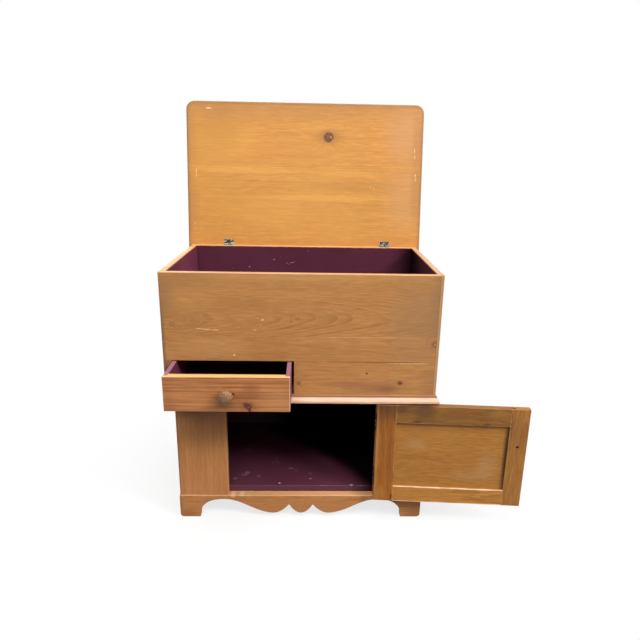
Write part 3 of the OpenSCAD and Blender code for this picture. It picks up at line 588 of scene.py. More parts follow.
# %% Pine finish
def pine(name, low, high, order="xyz", heart=(25, 0), lean=0.05, ring=6.0, tones=PINE, gain=1.0,
         knots=(), marks=(), shades=(), faces=(), figure=0.8, wear=0.6, edge=EDGE, dive=None,
         band=None, edge_mm=(2.4, 0.2), outline=None, corner=None, mottle=0.5, lines=0.0,
         turn=None, paint=(), plum=1.0, chips=(), gloom=None, shine=0.4, seed=0.0):
    """A board's finish. Order names its axes: along the grain, through the board, across it."""
    finish, w = new_finish(name)
    place = w.add("TexCoord").outputs["Object"]
    if turn:
        angles, pin = SHUT[turn]
        move = pin - shut_matrix(turn).to_3x3() @ pin
        place = w.add("Mapping", {"Vector": place, "Location": move, "Rotation": angles}).outputs[0]
    axes = w.add("SeparateXYZ", {0: place}).outputs
    numbers = ["xyz".index(letter) for letter in order]
    ways = along, through, across = [axes[number] for number in numbers]
    grain = w.add("CombineXYZ", {0: along, 1: through, 2: across}).outputs[0]
    middle = [((low + high) / 2)[number] for number in numbers]

    late, far_from = growth_rings(w, ways, grain, middle, heart, lean, ring, dive, band, knots, seed)
    tone, fibre, streak, cloud = wood_tones(w, grain, late, tones, gain, figure, mottle, lines, seed)
    crumbly = w.noise(w.moved(place, (seed, seed, seed)), 190.0, 3)
    tone = with_knots(w, tone, crumbly, knots, far_from, tones[1], gain)
    tone = with_shades(w, tone, along, across, shades)
    patchy = w.noise(w.moved(place, (0, 0, seed)), 24.0, 3)
    tone = with_faces(w, tone, axes, patchy, streak, faces)
    near = from_edge(w, place, *(outline or (low, high)), corner)
    near = w.math("ADD", near, w.math("MULTIPLY_ADD", patchy, 0.005, -0.0035))
    tone = w.stain(tone, colour(edge), near, -edge_mm[0] * MM, -edge_mm[1] * MM, 0.0, wear)
    ragged = w.noise(w.moved(place, (seed, seed, 0)), 420.0, 2)
    tone = with_spots(w, tone, along, across, ragged, marks)

    rough = w.sway(w.math("MULTIPLY_ADD", late, -0.08, 0.56), cloud, 0.16)
    height = w.math("ADD", w.times(late, 0.5), w.times(fibre, 0.5))
    if paint:
        painted, dull, brush = plum_paint(w, place, grain, seed, plum)
        painted = with_spots(w, painted, along, across, ragged, chips)
        painted, shine = with_gloom(w, painted, axes, gloom, shine)
        inside = in_boxes(w, place, paint)
        tone = w.mix(inside, tone, painted)
        rough = w.between(inside, rough, dull)
        height = w.between(inside, height, brush)
    w.surface(tone, rough, height, 0.22, 0.6 * MM, shine)
    return finish


print("pine finish")


# %% Dress a board
def coat(piece, finish):
    """Gives a piece its finish and leaves its mesh as it is."""
    piece.data.materials.clear()
    piece.data.materials.append(finish)


def dress_board(node, body="case", **looks):
    """A board in its pine finish, measured where it lies when its body is shut."""
    low, high = shut_box(node, body)
    turn = body if body in SHUT else None
    coat(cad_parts[node], pine("Pine " + node.replace("_", " "), low, high, turn=turn, **looks))


print("boards can be dressed")


# %% [markdown]
# ## The front of the well
#
# The top board is the one that everybody sees: tall arches point to the right, and the
# heart comes to the surface near the left end in a small swirl. Its heart therefore starts
# almost in the face on the left and sinks away behind the board to the right.

# %% Tones of the front
PALE = (0.86, 0.56, 0.3)
DUSK = (0.17, 0.062, 0.022)
# A painted shade down the left-hand edges, on the side away from the light.
LEFT_EDGE_SHADE = (0.115, 0.057, 0.032)
PITCH = (0.03, 0.015, 0.008)
RIM = (0.66, 0.36, 0.165)


def scrubbed_rim(rgb):
    """The top of the well's walls, scrubbed to a colour."""
    return ("z", rim - 1.4 * MM, rgb, 0.9)


front_end = WELL[1].x
# At the right end of the front a thin dark line runs down, then a pale strip that is part worn arris and part
# painted light from the right.
FRONT = dict(wear=0.3, outline=WELL, faces=[("x", front_end - 10 * MM, (0.16, 0.07, 0.03), 0.4),
                                            ("x", front_end - 8.4 * MM, (0.5, 0.265, 0.12), 0.8)])
FRONT_TOP = dict(FRONT, faces=[scrubbed_rim(RIM)] + FRONT["faces"])
print("the front ends at", round(front_end, 4))

# %% Top front board
dress_board(
    "front_top_board", heart=(72, -36), lean=0.085, dive=(-350, -262, 44), band=(34, 85), ring=4.4, seed=1.3,
    paint=["well"], figure=1.0, gain=0.94, lines=0.1, **FRONT_TOP,
    knots=[(-352, 618, 7, 1.2, 0.22), (-12, 637, 2.8, 2.4, 0.25, (0.32, 0.13, 0.048))],
    shades=[
        (-300, 640, 46, 1.2, DUSK, 0.1), (-384, 590, 150, 0.085, LEFT_EDGE_SHADE, 0.75),
        (-378, 690, 70, 0.7, (0.24, 0.118, 0.055), 0.5), (378, 660, 130, 0.26, (0.23, 0.125, 0.05), 0.55),
        (330, 640, 130, 0.8, (0.29, 0.155, 0.075), 0.42), (-60, 752, 12, 30, (0.62, 0.34, 0.12), 0.25),
        (-300, 700, 60, 1.2, (0.56, 0.28, 0.075), 0.2), (-320, 746, 42, 2.4, (0.24, 0.11, 0.04), 0.35)],
    marks=[
        (-277, 607, 1.1, 12, PALE, 0.7), (-257, 604, 1.3, 9, PALE, 0.85), (-235, 603, 1.2, 9, PALE, 0.7),
        (-107, 633, 2, 2, PALE, 0.9), (-120, 637, 0.8, 9, PALE, 0.4), (-128, 604, 1.2, 5, PALE, 0.6),
        (-112, 618, 1, 3, PALE, 0.4), (-172, 612, 0.9, 7, PALE, 0.3), (-180, 650, 0.9, 34, DUSK, 0.3),
        (-250, 668, 0.8, 40, DUSK, 0.22), (60, 664, 0.8, 44, DUSK, 0.22), (170, 674, 0.8, 26, DUSK, 0.28),
        (130, 600, 0.9, 46, DUSK, 0.26), (-366, 606, 0.9, 12, DUSK, 0.5)])
print("top front board")

# %% Middle and lower front boards
dress_board(
    "front_middle_board", heart=(70, 22), lean=-0.03, ring=4.8, seed=4.7, paint=["well"], figure=0.55,
    gain=0.925, lines=0.14, band=(20, 60), **FRONT,
    knots=[(369, 566, 9.5, 1.0, 0.62, (0.56, 0.32, 0.14))],
    marks=[
        (-186, 531, 2.3, 1.6, PALE, 0.95), (-240, 520, 1, 20, DUSK, 0.45), (-222, 526, 0.8, 9, DUSK, 0.4),
        (-345, 570, 0.9, 14, DUSK, 0.35), (-350, 546, 0.9, 18, DUSK, 0.4), (-10, 577, 1.2, 4, DUSK, 0.35),
        (180, 584.8, 0.8, 190, PALE, 0.4), (-240, 516.5, 1.2, 26, DUSK, 0.3)],
    shades=[
        (330, 550, 60, 1.6, (0.28, 0.155, 0.085), 0.24), (-240, 548, 40, 3.2, (0.62, 0.325, 0.12), 0.34),
        (-384, 550, 150, 0.085, LEFT_EDGE_SHADE, 0.75)])
dress_board(
    "front_lower_board", heart=(50, 12), lean=0.03, ring=4.6, seed=8.1, paint=["bay"], figure=0.5, gain=0.95,
    lines=0.14, **FRONT, knots=[(277, 451, 5.5, 1.3, 0.9), (-8, 448, 4.2, 1.2, 0.55, (0.34, 0.15, 0.06))],
    marks=[
        (182, 479, 2.6, 1.3, (0.012, 0.006, 0.004), 1), (184, 473, 0.9, 1.5, (0.03, 0.015, 0.01), 0.8),
        (200, 512.8, 1.3, 125, PITCH, 0.65), (10, 512.8, 1, 40, DUSK, 0.5), (-4, 458, 0.9, 5, DUSK, 0.6),
        (2, 442, 0.9, 7, DUSK, 0.6), (300, 509.4, 0.9, 70, PALE, 0.65)],
    shades=[
        (212, 436, 20, 5, (0.24, 0.075, 0.04), 0.46), (120, 446, 10, 7, (0.24, 0.075, 0.045), 0.35),
        (240, 432, 12, 3, (0.17, 0.05, 0.03), 0.4), (366, 450, 60, 0.6, (0.24, 0.105, 0.06), 0.3)])
dress_board("front_end_strip", order="zyx", ring=4.0, seed=2.2, gain=0.52, paint=["bay"])
print("middle and lower front boards")

# %% [markdown]
# The ends and the back of the well are painted inside only. Their paint carries the light
# from the right as painted light and shade: lighter on the left wall, darker on the back and
# darker still on the right wall, going black in painted shade towards the back of the right
# wall and at the right end of the back.

# %% Ends of the well
CHIP = (0.5, 0.34, 0.35)
END = dict(order="yxz", heart=(40, 30), lean=0.07, ring=6.4, paint=["well", "bay"], outline=WELL)
dress_board(
    "box_end_left", seed=3.1, plum=1.4,
    faces=[scrubbed_rim((0.62, 0.33, 0.135))], knots=[(-160, 640, 10, 1.3, 0.7)], **END)
dress_board(
    "box_end_right", seed=6.4, plum=0.62, gloom=(0.88, 0.88, [(0, 1, -400, -40)]),
    faces=[scrubbed_rim((0.62, 0.37, 0.235))], knots=[(-250, 690, 8, 1.2, 0.6)], **END)
print("ends of the well")

# %% Back of the well
BACK = dict(plum=0.75, outline=WELL, shine=0.12, gloom=(0.84, 0.84, [(1, 0, 285, 378)]))
dress_board(
    "box_back_upper", heart=(-30, 20), lean=0.06, ring=6.8, seed=9.2, gain=0.92, paint=["well"],
    faces=[scrubbed_rim(RIM)], **BACK,
    chips=[
        (-104, 715, 2.2, 1, CHIP, 0.6), (-188, 689, 2.2, 1, CHIP, 0.7), (12, 746, 2, 1, CHIP, 0.35),
        (-60, 704, 1.5, 1, CHIP, 0.9), (-53, 700, 1.4, 1, CHIP, 0.8), (-43, 705, 1.7, 1, CHIP, 1),
        (-36, 707, 1.4, 1.2, CHIP, 0.9), (-48, 706, 1.1, 1, CHIP, 0.8), (-83, 724, 1, 1, CHIP, 0.4),
        (-62, 724, 1, 1, CHIP, 0.4), (-245, 684, 1.4, 1, CHIP, 0.3)],
    knots=[(210, 640, 12, 1.2, 0.8), (-120, 600, 8, 1.2, 0.6)])
dress_board(
    "box_back_lower", heart=(-60, -20), lean=-0.04, ring=5.6, seed=5.5, gain=0.88, paint=["well", "bay"],
    knots=[(-260, 480, 11, 1.3, 0.8)], **BACK)
dress_board("drawer_divider", order="yxz", seed=7.7, gain=0.8)
dress_board("drawer_guide", order="yxz", seed=2.9, gain=0.8)
print("back of the well")


# %% [markdown]
# ## Waist, cupboard and feet
#
# The upright stiles show straight, quiet grain. The moulding round the waist was scrubbed
# with the table tops and has gone pale and pinkish. The scroll-cut apron has long waving
# streaks and a chip at the top of its left foot.

# %% Waist and moulding
MOULD = ((0.74, 0.48, 0.33), (0.56, 0.3, 0.2))
FILLET = ("z", deck - 5.6 * MM, (0.26, 0.107, 0.046), 0.85)
dress_board("waist_board", seed=1.9, paint=["cupboard"], gain=0.95)
SCRUBBED = dict(ring=3.4, tones=MOULD, figure=0.3, wear=0.3, faces=[FILLET])
dress_board("waist_moulding_front", heart=(30, 0), lean=0.01, seed=3.6, **SCRUBBED)
dress_board("waist_moulding_left", order="yxz", seed=4.1, **SCRUBBED)
dress_board("waist_moulding_right", order="yxz", seed=5.2, **SCRUBBED)
print("waist")

# %% Cupboard
# Inside the cupboard each board's paint is painted darker as painted shade, most on the right-hand and back
# boards, and the back boards fade to black towards the right.
LOWER = tuple((r * 1.03, g * 0.94, b) for r, g, b in PINE)
# The first two shades darken the top of the stile as the drawer's painted shadow.
dress_board(
    "stile_left", order="zyx", heart=(70, 30), lean=0.02, ring=5.4, seed=6.1, figure=0.27, paint=["cupboard"],
    gain=1.02, plum=0.6, tones=LOWER, mottle=0.3, lines=0.2,
    marks=[(232, -218.8, 1.3, 120, (0.62, 0.36, 0.17), 0.6)],
    shades=[
        (388, -290, 120, 0.42, (0.13, 0.036, 0.01), 0.72), (374, -290, 160, 0.34, (0.09, 0.026, 0.007), 0.85),
        (230, -365, 9, 30, LEFT_EDGE_SHADE, 0.65), (330, -250, 60, 1, (0.27, 0.115, 0.045), 0.35)])
dress_board(
    "stile_right", order="zyx", heart=(60, -30), lean=0.03, ring=5.4, seed=1.1, figure=0.5,
    paint=["cupboard"], plum=0.3)
for side, seed, plum, knot in (("left", 8.8, 0.7, (290, -150, 10, 1.3, 0.7)),
                               ("right", 2.4, 0.1, (200, -240, 9, 1.3, 0.7))):
    dress_board("cupboard_end_" + side, order="zxy", heart=(45, 0), lean=0.06, ring=7, seed=seed,
                paint=["cupboard"], plum=plum, knots=[knot])
for i, (part, plum) in enumerate((("left", 0.36), ("middle", 0.2), ("right", 0.1))):
    dress_board("back_board_" + part, order="zyx", heart=(-35, 10 * i - 20), lean=0.07, ring=7.5,
                seed=3.3 + 2 * i, gain=0.86, paint=["cupboard"], plum=plum,
                gloom=(0.3, 1.0, [(1, 0, -330, 0)]), knots=[(150 + 70 * i, -200 + 210 * i, 9, 1.3, 0.8)])
print("cupboard")

# %% Feet and aprons
BARE = (0.7, 0.44, 0.27)
dress_board(
    "apron_front", heart=(55, 30), lean=0.035, ring=5.0, seed=7.2, figure=0.75, wear=0.75, tones=LOWER,
    faces=[("z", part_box("apron_front")[1].z - 1.8 * MM, RIM, 0.6)],
    marks=[
        (-205, 71, 5, 1.5, BARE, 0.75), (-178, 73, 1.8, 5, BARE, 0.7),
        (-212, 66.5, 1, 8, (0.16, 0.065, 0.03), 0.6)],
    shades=[
        (-345, 8, 20, 1.5, DUSK, 0.35), (345, 8, 20, 1.5, DUSK, 0.3), (-366, 36, 40, 0.25, LEFT_EDGE_SHADE, 0.6),
        (0, 20, 26, 6, (0.46, 0.19, 0.075), 0.25)])
for side, seed in (("left", 1.6), ("right", 9.9)):
    dress_board("apron_" + side, order="yxz", heart=(45, 20), lean=0.04, ring=5.5, seed=seed)
dress_board("apron_back", heart=(-45, 20), lean=0.04, ring=5.5, seed=4.4, gain=0.85)
for node, order, seed in (("floor_cleats", "yxz", 1.0), ("floor_bearer", "xyz", 2.0),
                          ("corner_blocks", "zyx", 3.0)):
    dress_board(node, order=order, seed=seed, gain=0.85, wear=0.2)
print("feet")


# %% [markdown]
# ## The lid
#
# Two boards glued edge to edge, honey-coloured because the underside never saw wear. The
# rings are almost flat to the face, so the figure is faint: broad bands of lighter and
# redder wood, and one round knot with an eye of bent grain about it.

# %% Front board of the lid
SHEEN = (0.76, 0.385, 0.075)
BLUSH = (0.55, 0.275, 0.118)
ROSY = (0.85, 0.52, 0.3)
UMBER = (0.42, 0.155, 0.045)
AMBER = (0.56, 0.255, 0.042)
GOLD = (0.66, 0.315, 0.066)
TAN = (0.4, 0.175, 0.055)
BARK = (0.33, 0.145, 0.035)
# The lid's dark edge colour is a painted shade along its rounded edges.
LID_LOOKS = dict(order="xzy", tones=HONEY, wear=0.62, edge=(0.21, 0.098, 0.034), edge_mm=(16, 0),
                 outline=LID, corner=28, mottle=0.6, lines=0.15)
# The shade at (0, -462) is a painted shade along the lid's top edge.
dress_board(
    "lid_front_board", "lid", heart=(-70, -20), lean=0.02, ring=7.5, figure=0.34, seed=2.7, **LID_LOOKS,
    knots=[(77, -357, 17, 1.04, 0.97, (0.36, 0.165, 0.07))],
    shades=[
        (-300, -330, 150, 1, AMBER, 0.35), (30, -250, 150, 1.2, GOLD, 0.3),
        (-250, -330, 60, 2.4, SHEEN, 0.25), (340, -370, 120, 0.7, BLUSH, 0.55),
        (-300, -440, 30, 3, (0.5, 0.215, 0.065), 0.35), (77, -357, 24, 2.5, (0.3, 0.125, 0.035), 0.45),
        (-386, -360, 120, 0.22, TAN, 0.45), (-20, -300, 18, 7, UMBER, 0.16),
        (0, -462, 62, 9, (0.3, 0.135, 0.045), 0.36), (-290, -385, 90, 1, (0.34, 0.135, 0.022), 0.24),
        (376, -330, 120, 0.17, BARK, 0.35)],
    marks=[
        (-322, -443, 3, 3, ROSY, 0.8), (88, -346, 4, 0.8, (0.46, 0.29, 0.085), 0.7),
        (77, -356, 15, 1, (0.08, 0.022, 0.006), 0.86), (77, -357, 9, 1, (0.2, 0.082, 0.032), 0.78),
        (78, -353, 3.4, 1, (0.09, 0.03, 0.012), 0.6), (85, -357, 3.2, 0.8, (0.56, 0.34, 0.22), 0.8),
        (-310, -441, 1.5, 2.5, ROSY, 0.4), (367, -318, 9, 0.14, ROSY, 0.85),
        (368.5, -296, 8, 0.16, ROSY, 0.85), (30, -268.8, 1, 12, UMBER, 0.55),
        (44, -276, 0.8, 14, UMBER, 0.4), (262, -330, 0.9, 12, SHEEN, 0.3), (45, -451, 1.2, 1, UMBER, 0.6)])
print("front board of the lid")

# %% Rear board of the lid
# The shade at (60, -60) is painted light on the lid near its hinge.
dress_board(
    "lid_rear_board", "lid", heart=(-60, 30), lean=-0.02, ring=7.0, figure=0.36, seed=5.9, **LID_LOOKS,
    shades=[
        (-300, -130, 150, 1, AMBER, 0.35), (30, -150, 150, 1.2, GOLD, 0.3), (-200, -247, 16, 12, SHEEN, 0.42),
        (60, -157, 13, 22, SHEEN, 0.42), (175, -200, 20, 9, (0.31, 0.14, 0.03), 0.24),
        (160, -237, 9, 16, (0.74, 0.37, 0.09), 0.28), (-150, -110, 50, 3, SHEEN, 0.22),
        (340, -160, 130, 0.6, BLUSH, 0.45), (-386, -130, 140, 0.2, TAN, 0.4), (0, -6, 12, 40, UMBER, 0.25),
        (120, -200, 9, 16, (0.52, 0.225, 0.05), 0.3), (60, -60, 70, 5, (0.68, 0.315, 0.07), 0.22),
        (376, -190, 120, 0.17, BARK, 0.35)],
    marks=[
        (-365, -239, 9, 0.15, ROSY, 0.85), (-365, -225, 6, 0.2, ROSY, 0.75), (372, -236, 8, 0.2, ROSY, 0.85),
        (373, -222, 5, 0.25, ROSY, 0.8), (222, -196, 5, 0.2, SHEEN, 0.9), (233, -190, 7, 0.15, SHEEN, 0.8),
        (28, -262, 1, 14, UMBER, 0.55), (182, -248.5, 0.9, 7, UMBER, 0.65), (-373, -66, 6, 0.3, ROSY, 0.45),
        (-371, -50, 5, 0.3, ROSY, 0.35)])
print("rear board of the lid")


# %% [markdown]
# ## The drawer
#
# Its front is redder than the case and cut on the quarter, so fine straight lines run from
# end to end, with a resin-dark knot beside the knob. The sides are painted plum outside
# and in.

# %% Drawer front
RUSSET = ((0.475, 0.192, 0.063), (0.27, 0.088, 0.027))
RESIN = (0.07, 0.006, 0.001)
drawer_low, drawer_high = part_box("drawer_front")
# The shade at (-207, 443) is the knob's painted shadow, below and to the left of it.
dress_board(
    "drawer_front", heart=(110, 120), lean=0.012, ring=6.0, tones=RUSSET, figure=0.42, seed=3.9, wear=0.8,
    gain=0.95, edge=(0.66, 0.38, 0.24), mottle=0.3, lines=0.8, paint=["drawer"],
    knots=[(-137, 431, 9.0, 1.35, 1.0, (0.15, 0.03, 0.016)), (-131, 412, 4.2, 1.0, 1.0)],
    faces=[
        ("z", drawer_high.z - 1.2 * MM, (0.74, 0.45, 0.155), 0.95),
        ("x", drawer_high.x - 2.2 * MM, (0.7, 0.42, 0.28), 0.8)],
    marks=[
        (-171, 460, 1.3, 2.6, DUSK, 0.75), (-165, 453, 1.3, 3, DUSK, 0.75), (-158, 447, 1.3, 3, DUSK, 0.75),
        (-151, 441, 1.4, 3, DUSK, 0.75), (-164, 445, 0.9, 7, DUSK, 0.5), (-173, 450, 0.9, 7, DUSK, 0.5),
        (-174.5, 465, 3.8, 0.8, (0.03, 0.009, 0.003), 0.97), (-144, 436, 6.2, 1.2, (0.11, 0.024, 0.009), 0.8),
        (-139, 431, 7, 1, (0.085, 0.012, 0.003), 0.85), (-135.5, 425, 6.6, 0.9, RESIN, 0.9),
        (-137, 427, 1.9, 1.1, (0.3, 0.12, 0.075), 0.85), (-133, 418, 3.6, 1, (0.06, 0.008, 0.001), 0.92),
        (-120, 424, 0.9, 7, DUSK, 0.6), (-300, 441, 0.8, 30, DUSK, 0.4), (-250, 424, 0.8, 40, DUSK, 0.35),
        (-90, 470, 0.8, 30, DUSK, 0.35)],
    shades=[
        (-155, 440, 22, 1.6, (0.23, 0.072, 0.034), 0.42), (-130, 480, 16, 1.8, (0.24, 0.06, 0.025), 0.5),
        (-130, 424, 24, 1.3, (0.28, 0.095, 0.045), 0.3), (-207, 443, 24, 1, (0.085, 0.034, 0.017), 0.62),
        (-290, 440, 60, 1.2, (0.56, 0.245, 0.085), 0.25), (-352, 440, 60, 0.5, (0.25, 0.082, 0.026), 0.35),
        (-62, 436, 60, 0.9, (0.62, 0.28, 0.105), 0.32)])
print("drawer front")

# %% [markdown]
# The drawer's sides, the well's floor and the cupboard's floor are painted all over, so
# they need no wood under the paint, only the paler wood that shows where it wore through.

# %% A finish for painted boards
WORN_THROUGH = (0.44, 0.21, 0.2)


def dress_painted(node, order, seed, gain=1.0, top=0.0, chips=(), gloom=None, crown=(0.3, 0.13, 0.185)):
    """A solid that is painted all over, worn along its edges and by a share on its top."""
    finish, w = new_finish("Plum " + node.replace("_", " "))
    place = w.add("TexCoord").outputs["Object"]
    axes = w.add("SeparateXYZ", {0: place}).outputs
    grain = w.add("CombineXYZ", {i: axes["xyz".index(letter)] for i, letter in enumerate(order)}).outputs[0]
    tone, rough, brush = plum_paint(w, place, grain, seed, gain)
    tone = with_spots(w, tone, axes[0], axes[1], w.noise(place, 420.0, 2), chips)
    low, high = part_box(node)
    uneven = w.math("MULTIPLY_ADD", w.noise(place, 30.0, 3), 0.006, -0.0042)
    near = w.math("ADD", from_edge(w, place, low, high), uneven)
    tone = w.stain(tone, colour(WORN_THROUGH), near, -1.6 * MM, 0.0, 0.0, 0.75)
    rise = w.math("SUBTRACT", axes[2], high.z - 1.2 * MM)
    tone = w.stain(tone, colour(crown), rise, 0.0, 0.6 * MM, 0.0, top)
    tone, shine = with_gloom(w, tone, axes, gloom, 0.4)
    w.surface(tone, rough, brush, 0.18, 0.5 * MM, shine)
    coat(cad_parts[node], finish)


print("painted finish")

# %% Dress the painted boards
dress_painted("drawer_side_left", "yxz", 1.0, gain=1.35, top=0.85)
dress_painted("drawer_side_right", "yxz", 2.0, gain=1.35, top=0.85, crown=(0.29, 0.12, 0.16))
dress_painted("drawer_back", "xyz", 3.0, top=0.6)
dress_painted("drawer_bottom", "yxz", 4.0)
dress_painted("well_floor", "xyz", 5.0, gain=0.9)
dress_painted("top_cleats", "yxz", 7.0, gain=0.1)
# The cupboard floor's paint fades to black towards the back and the right in painted shade.
dress_painted(
    "cupboard_floor", "xyz", 6.0, gain=0.73,
    gloom=(0.35, 0.985, [(0.616, 0.788, -170, -100), (0.871, 0.491, -70, 2)]),
    chips=[
        (-84, -257, 3, 1, CHIP, 0.45), (-84, -277, 3, 1, CHIP, 0.45), (-95, -286, 2.6, 1, CHIP, 0.4),
        (-75, -286, 2.6, 1, CHIP, 0.35), (-34, -318, 3.2, 3, CHIP, 0.3), (-17, -330, 2.6, 2, CHIP, 0.25),
        (-182, -205, 7, 2, CHIP, 0.1), (-171, -342, 5, 1.6, CHIP, 0.28), (-178, -354, 6, 2, CHIP, 0.16),
        (28, -375, 4, 1.4, CHIP, 0.3), (28, -348, 4, 1.2, CHIP, 0.18), (-67, -400, 3.2, 1.3, CHIP, 0.95),
        (154, -409, 3, 1.8, CHIP, 1), (-205, -376, 6, 1.5, CHIP, 0.16), (-133, -362, 6, 1.2, CHIP, 0.12)])
print("painted boards")


# %% [markdown]
# ## The door
#
# We look at its inner side: two stiles, two rails, and a thin panel set in a groove. Hands
# have rubbed the lower and left edges of the frame pale, and dust lies on the panel.

# %% Stiles of the door
OCHRE = ((0.39, 0.17, 0.032), (0.255, 0.098, 0.016))
TAWNY = ((0.4, 0.146, 0.02), (0.25, 0.08, 0.009))
BLACK = (0.018, 0.008, 0.005)
GREYED = (0.52, 0.34, 0.18)
# The first shade is the moulding's painted shadow over the top of the stile.
dress_board(
    "door_hinge_stile", "door", order="zyx", heart=(60, 20), lean=0.03, ring=5.0, tones=TAWNY, seed=1.7,
    wear=0.75, gain=0.94, edge=(0.62, 0.36, 0.15), edge_mm=(2.8, 0.4), figure=0.85, mottle=0.8, shine=0.3,
    shades=[
        (385, 190, 60, 0.9, (0.05, 0.02, 0.006), 0.8), (330, 196, 40, 1.2, (0.17, 0.062, 0.011), 0.25),
        (232, 174, 9, 18, (0.2, 0.062, 0.01), 0.55), (232, 196, 8, 20, (0.21, 0.07, 0.01), 0.4),
        (100, 200, 22, 1.2, (0.46, 0.21, 0.05), 0.4), (250, 212, 5, 30, (0.5, 0.26, 0.09), 0.4)],
    marks=[
        (92, 164, 2.8, 3, BLACK, 0.85), (106, 163, 1.4, 4, BLACK, 0.5), (80, 165, 1.2, 5, BLACK, 0.6)])
dress_board(
    "door_lock_stile", "door", order="zyx", heart=(50, -20), lean=0.03, ring=5.0, tones=OCHRE, seed=4.9,
    wear=0.6, gain=0.92, figure=0.9, mottle=0.8,
    shades=[
        (300, -190, 30, 2, (0.22, 0.082, 0.016), 0.3), (330, -170, 8, 5, (0.2, 0.07, 0.015), 0.5)],
    marks=[
        (388.8, -170, 9, 0.13, BLACK, 0.9), (366, -165.2, 0.9, 15, BLACK, 0.85),
        (345, -165.6, 1.3, 6, BLACK, 0.8), (330, -166.5, 1.6, 5, BLACK, 0.6), (312, -167, 1, 9, BLACK, 0.5),
        (352, -176, 0.9, 3, BLACK, 0.4), (362, -187, 1.2, 1.2, BLACK, 0.4), (318, -183, 0.9, 2, BLACK, 0.35),
        (372, -181, 0.9, 3, BLACK, 0.3)])
print("stiles of the door")

# %% Rails of the door
RUST = (0.06, 0.03, 0.015)
# Its low gain darkens the rail as painted shade under the box, and the shades at (150, 378) and (100, 388)
# are the moulding's painted shadow.
dress_board(
    "door_top_rail", "door", heart=(50, 10), lean=0.03, ring=4.4, tones=OCHRE, seed=6.6, wear=0.5, gain=0.66,
    figure=0.8, mottle=0.8, shine=0.32,
    shades=[
        (100, 339, 6, 3, (0.045, 0.02, 0.009), 0.75), (-97, 337, 6, 2.2, (0.045, 0.02, 0.009), 0.75),
        (80, 370, 34, 1, (0.06, 0.03, 0.01), 0.62), (125, 374, 16, 2.4, (0.06, 0.028, 0.009), 0.35),
        (150, 378, 18, 1.3, (0.05, 0.02, 0.006), 0.6), (20, 352, 26, 3, (0.17, 0.085, 0.024), 0.15),
        (100, 388, 5, 12, BLACK, 0.6), (-130, 372, 14, 2.4, (0.33, 0.165, 0.04), 0.5)],
    marks=[
        (-160, 388.8, 1.2, 5, BLACK, 0.85), (-128, 356, 0.9, 6, BLACK, 0.4),
        (-140, 349, 0.9, 4, BLACK, 0.35)])
dress_board(
    "door_bottom_rail", "door", heart=(60, -10), lean=0.02, ring=4.8, tones=OCHRE, seed=2.1, wear=0.95,
    gain=1.24, edge=(0.95, 0.72, 0.54), edge_mm=(4.2, 1.0), figure=0.9, mottle=0.7,
    shades=[(-60, 118, 8, 6, (0.24, 0.095, 0.02), 0.4)],
    marks=[
        (148, 145, 1.6, 3, RUST, 0.9), (136, 144, 1.2, 3, RUST, 0.7),
        (82, 144.6, 1.3, 3, (0.1, 0.04, 0.02), 0.8)])
print("rails of the door")

# %% Panel of the door
CHESTNUT = (0.2, 0.075, 0.012)
# The shades at (-163, 240) and (0, 338) are the painted shadows of the lock stile and the top rail on the
# panel.
dress_board(
    "door_panel", "door", heart=(35, 10), lean=0.05, ring=7.0, tones=OCHRE, seed=8.3, figure=0.28, wear=0.1,
    gain=1.04, mottle=0.9, shine=0.34,
    shades=[
        (-110, 200, 50, 0.7, GREYED, 0.2), (100, 262, 22, 1.6, GREYED, 0.22), (-60, 165, 20, 3, GREYED, 0.15),
        (110, 222, 9, 3, (0.24, 0.1, 0.02), 0.45), (30, 214, 6, 6, (0.25, 0.1, 0.02), 0.3),
        (-163, 240, 170, 0.062, BLACK, 0.85), (0, 338, 5, 60, BLACK, 0.7), (40, 326, 16, 14, CHESTNUT, 0.38),
        (95, 310, 24, 2.6, CHESTNUT, 0.25), (60, 300, 60, 2, (0.5, 0.22, 0.05), 0.2)])
print("panel of the door")


# %% [markdown]
# ## Hinges, pins and screws
#
# Small plated butt hinges, gone dull, with grime in the corners. Metal shows its wear as
# roughness more than as colour, so the spots mainly change the shine.

# %% Old plated steel
def old_steel(name, clean, grimy):
    """Plated steel with grime: its clean colour and its grimy colour."""
    finish, w = new_finish(name)
    grime = w.noise(w.add("TexCoord").outputs["Object"], 160.0, 3)
    tone = w.stain(colour(grimy), colour(clean), grime, 0.46, 0.66)
    w.surface(tone, w.step(grime, 0.3, 0.7, 0.62, 0.3), grime, 0.3, 0.4 * MM, metal=0.9)
    return finish


steel = old_steel("Dulled hinge steel", (0.46, 0.45, 0.46), (0.045, 0.036, 0.03))
# The door's hinges get a much darker steel than the rest.
dark_steel = old_steel("Dark hinge steel", (0.12, 0.095, 0.075), (0.02, 0.014, 0.012))
metal = [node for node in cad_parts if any(word in node for word in ("screw", "leaves", "pins"))]
for node in metal:
    coat(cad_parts[node], dark_steel if node.startswith("door_hinge") else steel)
print(len(metal), "metal solids")


# %% [markdown]
# ## The knobs
#
# Each knob was turned on a lathe from one piece of pale pine: a foot ring, a hollow neck
# and a domed head. A lathe is just what Spin does. We start from a plane, cut it down to
# one edge line of the profile by extruding its points upward, and spin that line once
# round. It has more points than the solid's own line, so the neck and the dome come out
# rounder.

# %% Turn a knob
# The profile from foot to dome: radius and height in mm
KNOB = [(0, 0), (10.9, 0), (11.1, 0.5), (11.1, 2.1), (10.6, 2.8), (9.7, 3.2), (8.9, 4.6), (8.3, 6.6),
        (8, 9.2), (8.1, 11.2), (8.8, 12.7), (10.6, 14.1), (13.4, 15.2), (16.2, 16.1), (18.1, 17),
        (18.9, 18.2), (18.9, 19.3), (18.4, 20.8), (17.2, 22.8), (15.2, 24.8), (12.4, 26.6), (9, 27.9),
        (5, 28.7), (0, 28.95)]
LATHE_STEPS = 64


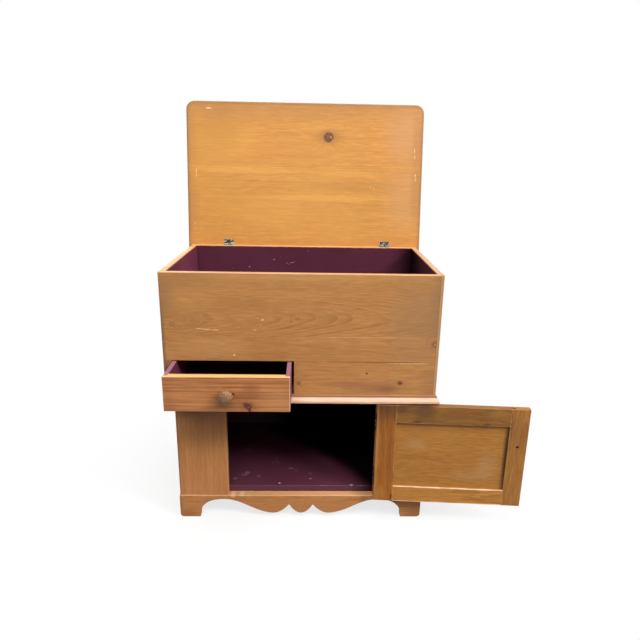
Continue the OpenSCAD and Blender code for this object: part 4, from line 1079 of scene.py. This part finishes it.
def turned_knob(name):
    """A knob on the origin, pointing up."""
    bpy.ops.object.select_all(action="DESELECT")
    bpy.ops.mesh.primitive_plane_add(size=2 * MM)
    knob = bpy.context.active_object
    knob.name = name
    bpy.ops.object.mode_set(mode="EDIT")
    bpy.ops.mesh.merge(type="CENTER")
    for (r0, z0), (r1, z1) in zip(KNOB, KNOB[1:]):
        step = ((r1 - r0) * MM, 0, (z1 - z0) * MM)
        bpy.ops.mesh.extrude_vertices_move(TRANSFORM_OT_translate={"value": step})
    bpy.ops.mesh.select_all(action="SELECT")
    bpy.ops.mesh.spin(steps=LATHE_STEPS, angle=2 * math.pi, center=(0, 0, 0), axis=(0, 0, 1))
    bpy.ops.mesh.select_all(action="SELECT")
    bpy.ops.mesh.remove_doubles(threshold=0.02 * MM)
    bpy.ops.mesh.normals_make_consistent(inside=False)
    bpy.ops.object.mode_set(mode="OBJECT")
    bpy.ops.object.shade_smooth_by_angle(angle=math.radians(50))
    return knob


def settle(piece, place, body):
    """Points a knob out of the front, puts it in place, opens it with its body and applies all that."""
    stand = Matrix.Translation(place) @ Matrix.Rotation(math.radians(90), 4, "X")
    piece.matrix_world = shut_matrix(body).inverted() @ stand
    bpy.ops.object.select_all(action="DESELECT")
    piece.select_set(True)
    bpy.context.view_layer.objects.active = piece
    bpy.ops.object.transform_apply(location=True, rotation=True, scale=True)
    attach(piece, body)
    return piece


drawer_spot = Vector(((drawer_low.x + drawer_high.x) / 2, drawer_low.y, (drawer_low.z + drawer_high.z) / 2))
door_low, door_high = shut_box("door_knob", "door")
door_spot = Vector(((door_low.x + door_high.x) / 2, door_high.y, (door_low.z + door_high.z) / 2))
drawer_knob = settle(turned_knob("drawer_knob_turned"), drawer_spot, "drawer")
door_knob = settle(turned_knob("door_knob_turned"), door_spot, "door")
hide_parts("drawer_knob")
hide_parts("door_knob")
print("knobs at", [round(v, 3) for v in drawer_spot], [round(v, 3) for v in door_spot])


# %% [markdown]
# Turned wood shows its fibres end on at the dome, handled grey-brown, with grease in the
# pores. The rings run through the knob from foot to dome.

# %% Handled knob wood
handled, w = new_finish("Handled knob wood")
place = w.add("TexCoord").outputs["Object"]
rings = w.noise(w.stretch(place, (260, 40, 260)), 1.0, 3)
cloud = w.noise(place, 60.0, 3)
tone = w.stain(colour((0.3, 0.147, 0.063)), colour((0.155, 0.067, 0.027)), rings, 0.3, 0.7)
tone = w.stain(tone, colour((0.22, 0.125, 0.068)), cloud, 0.4, 0.68, 0.0, 0.55)
w.surface(tone, w.step(cloud, 0.3, 0.7, 0.42, 0.62), rings, 0.2, 0.4 * MM, shine=0.4)
for knob in (drawer_knob, door_knob):
    coat(knob, handled)
print("knob wood")
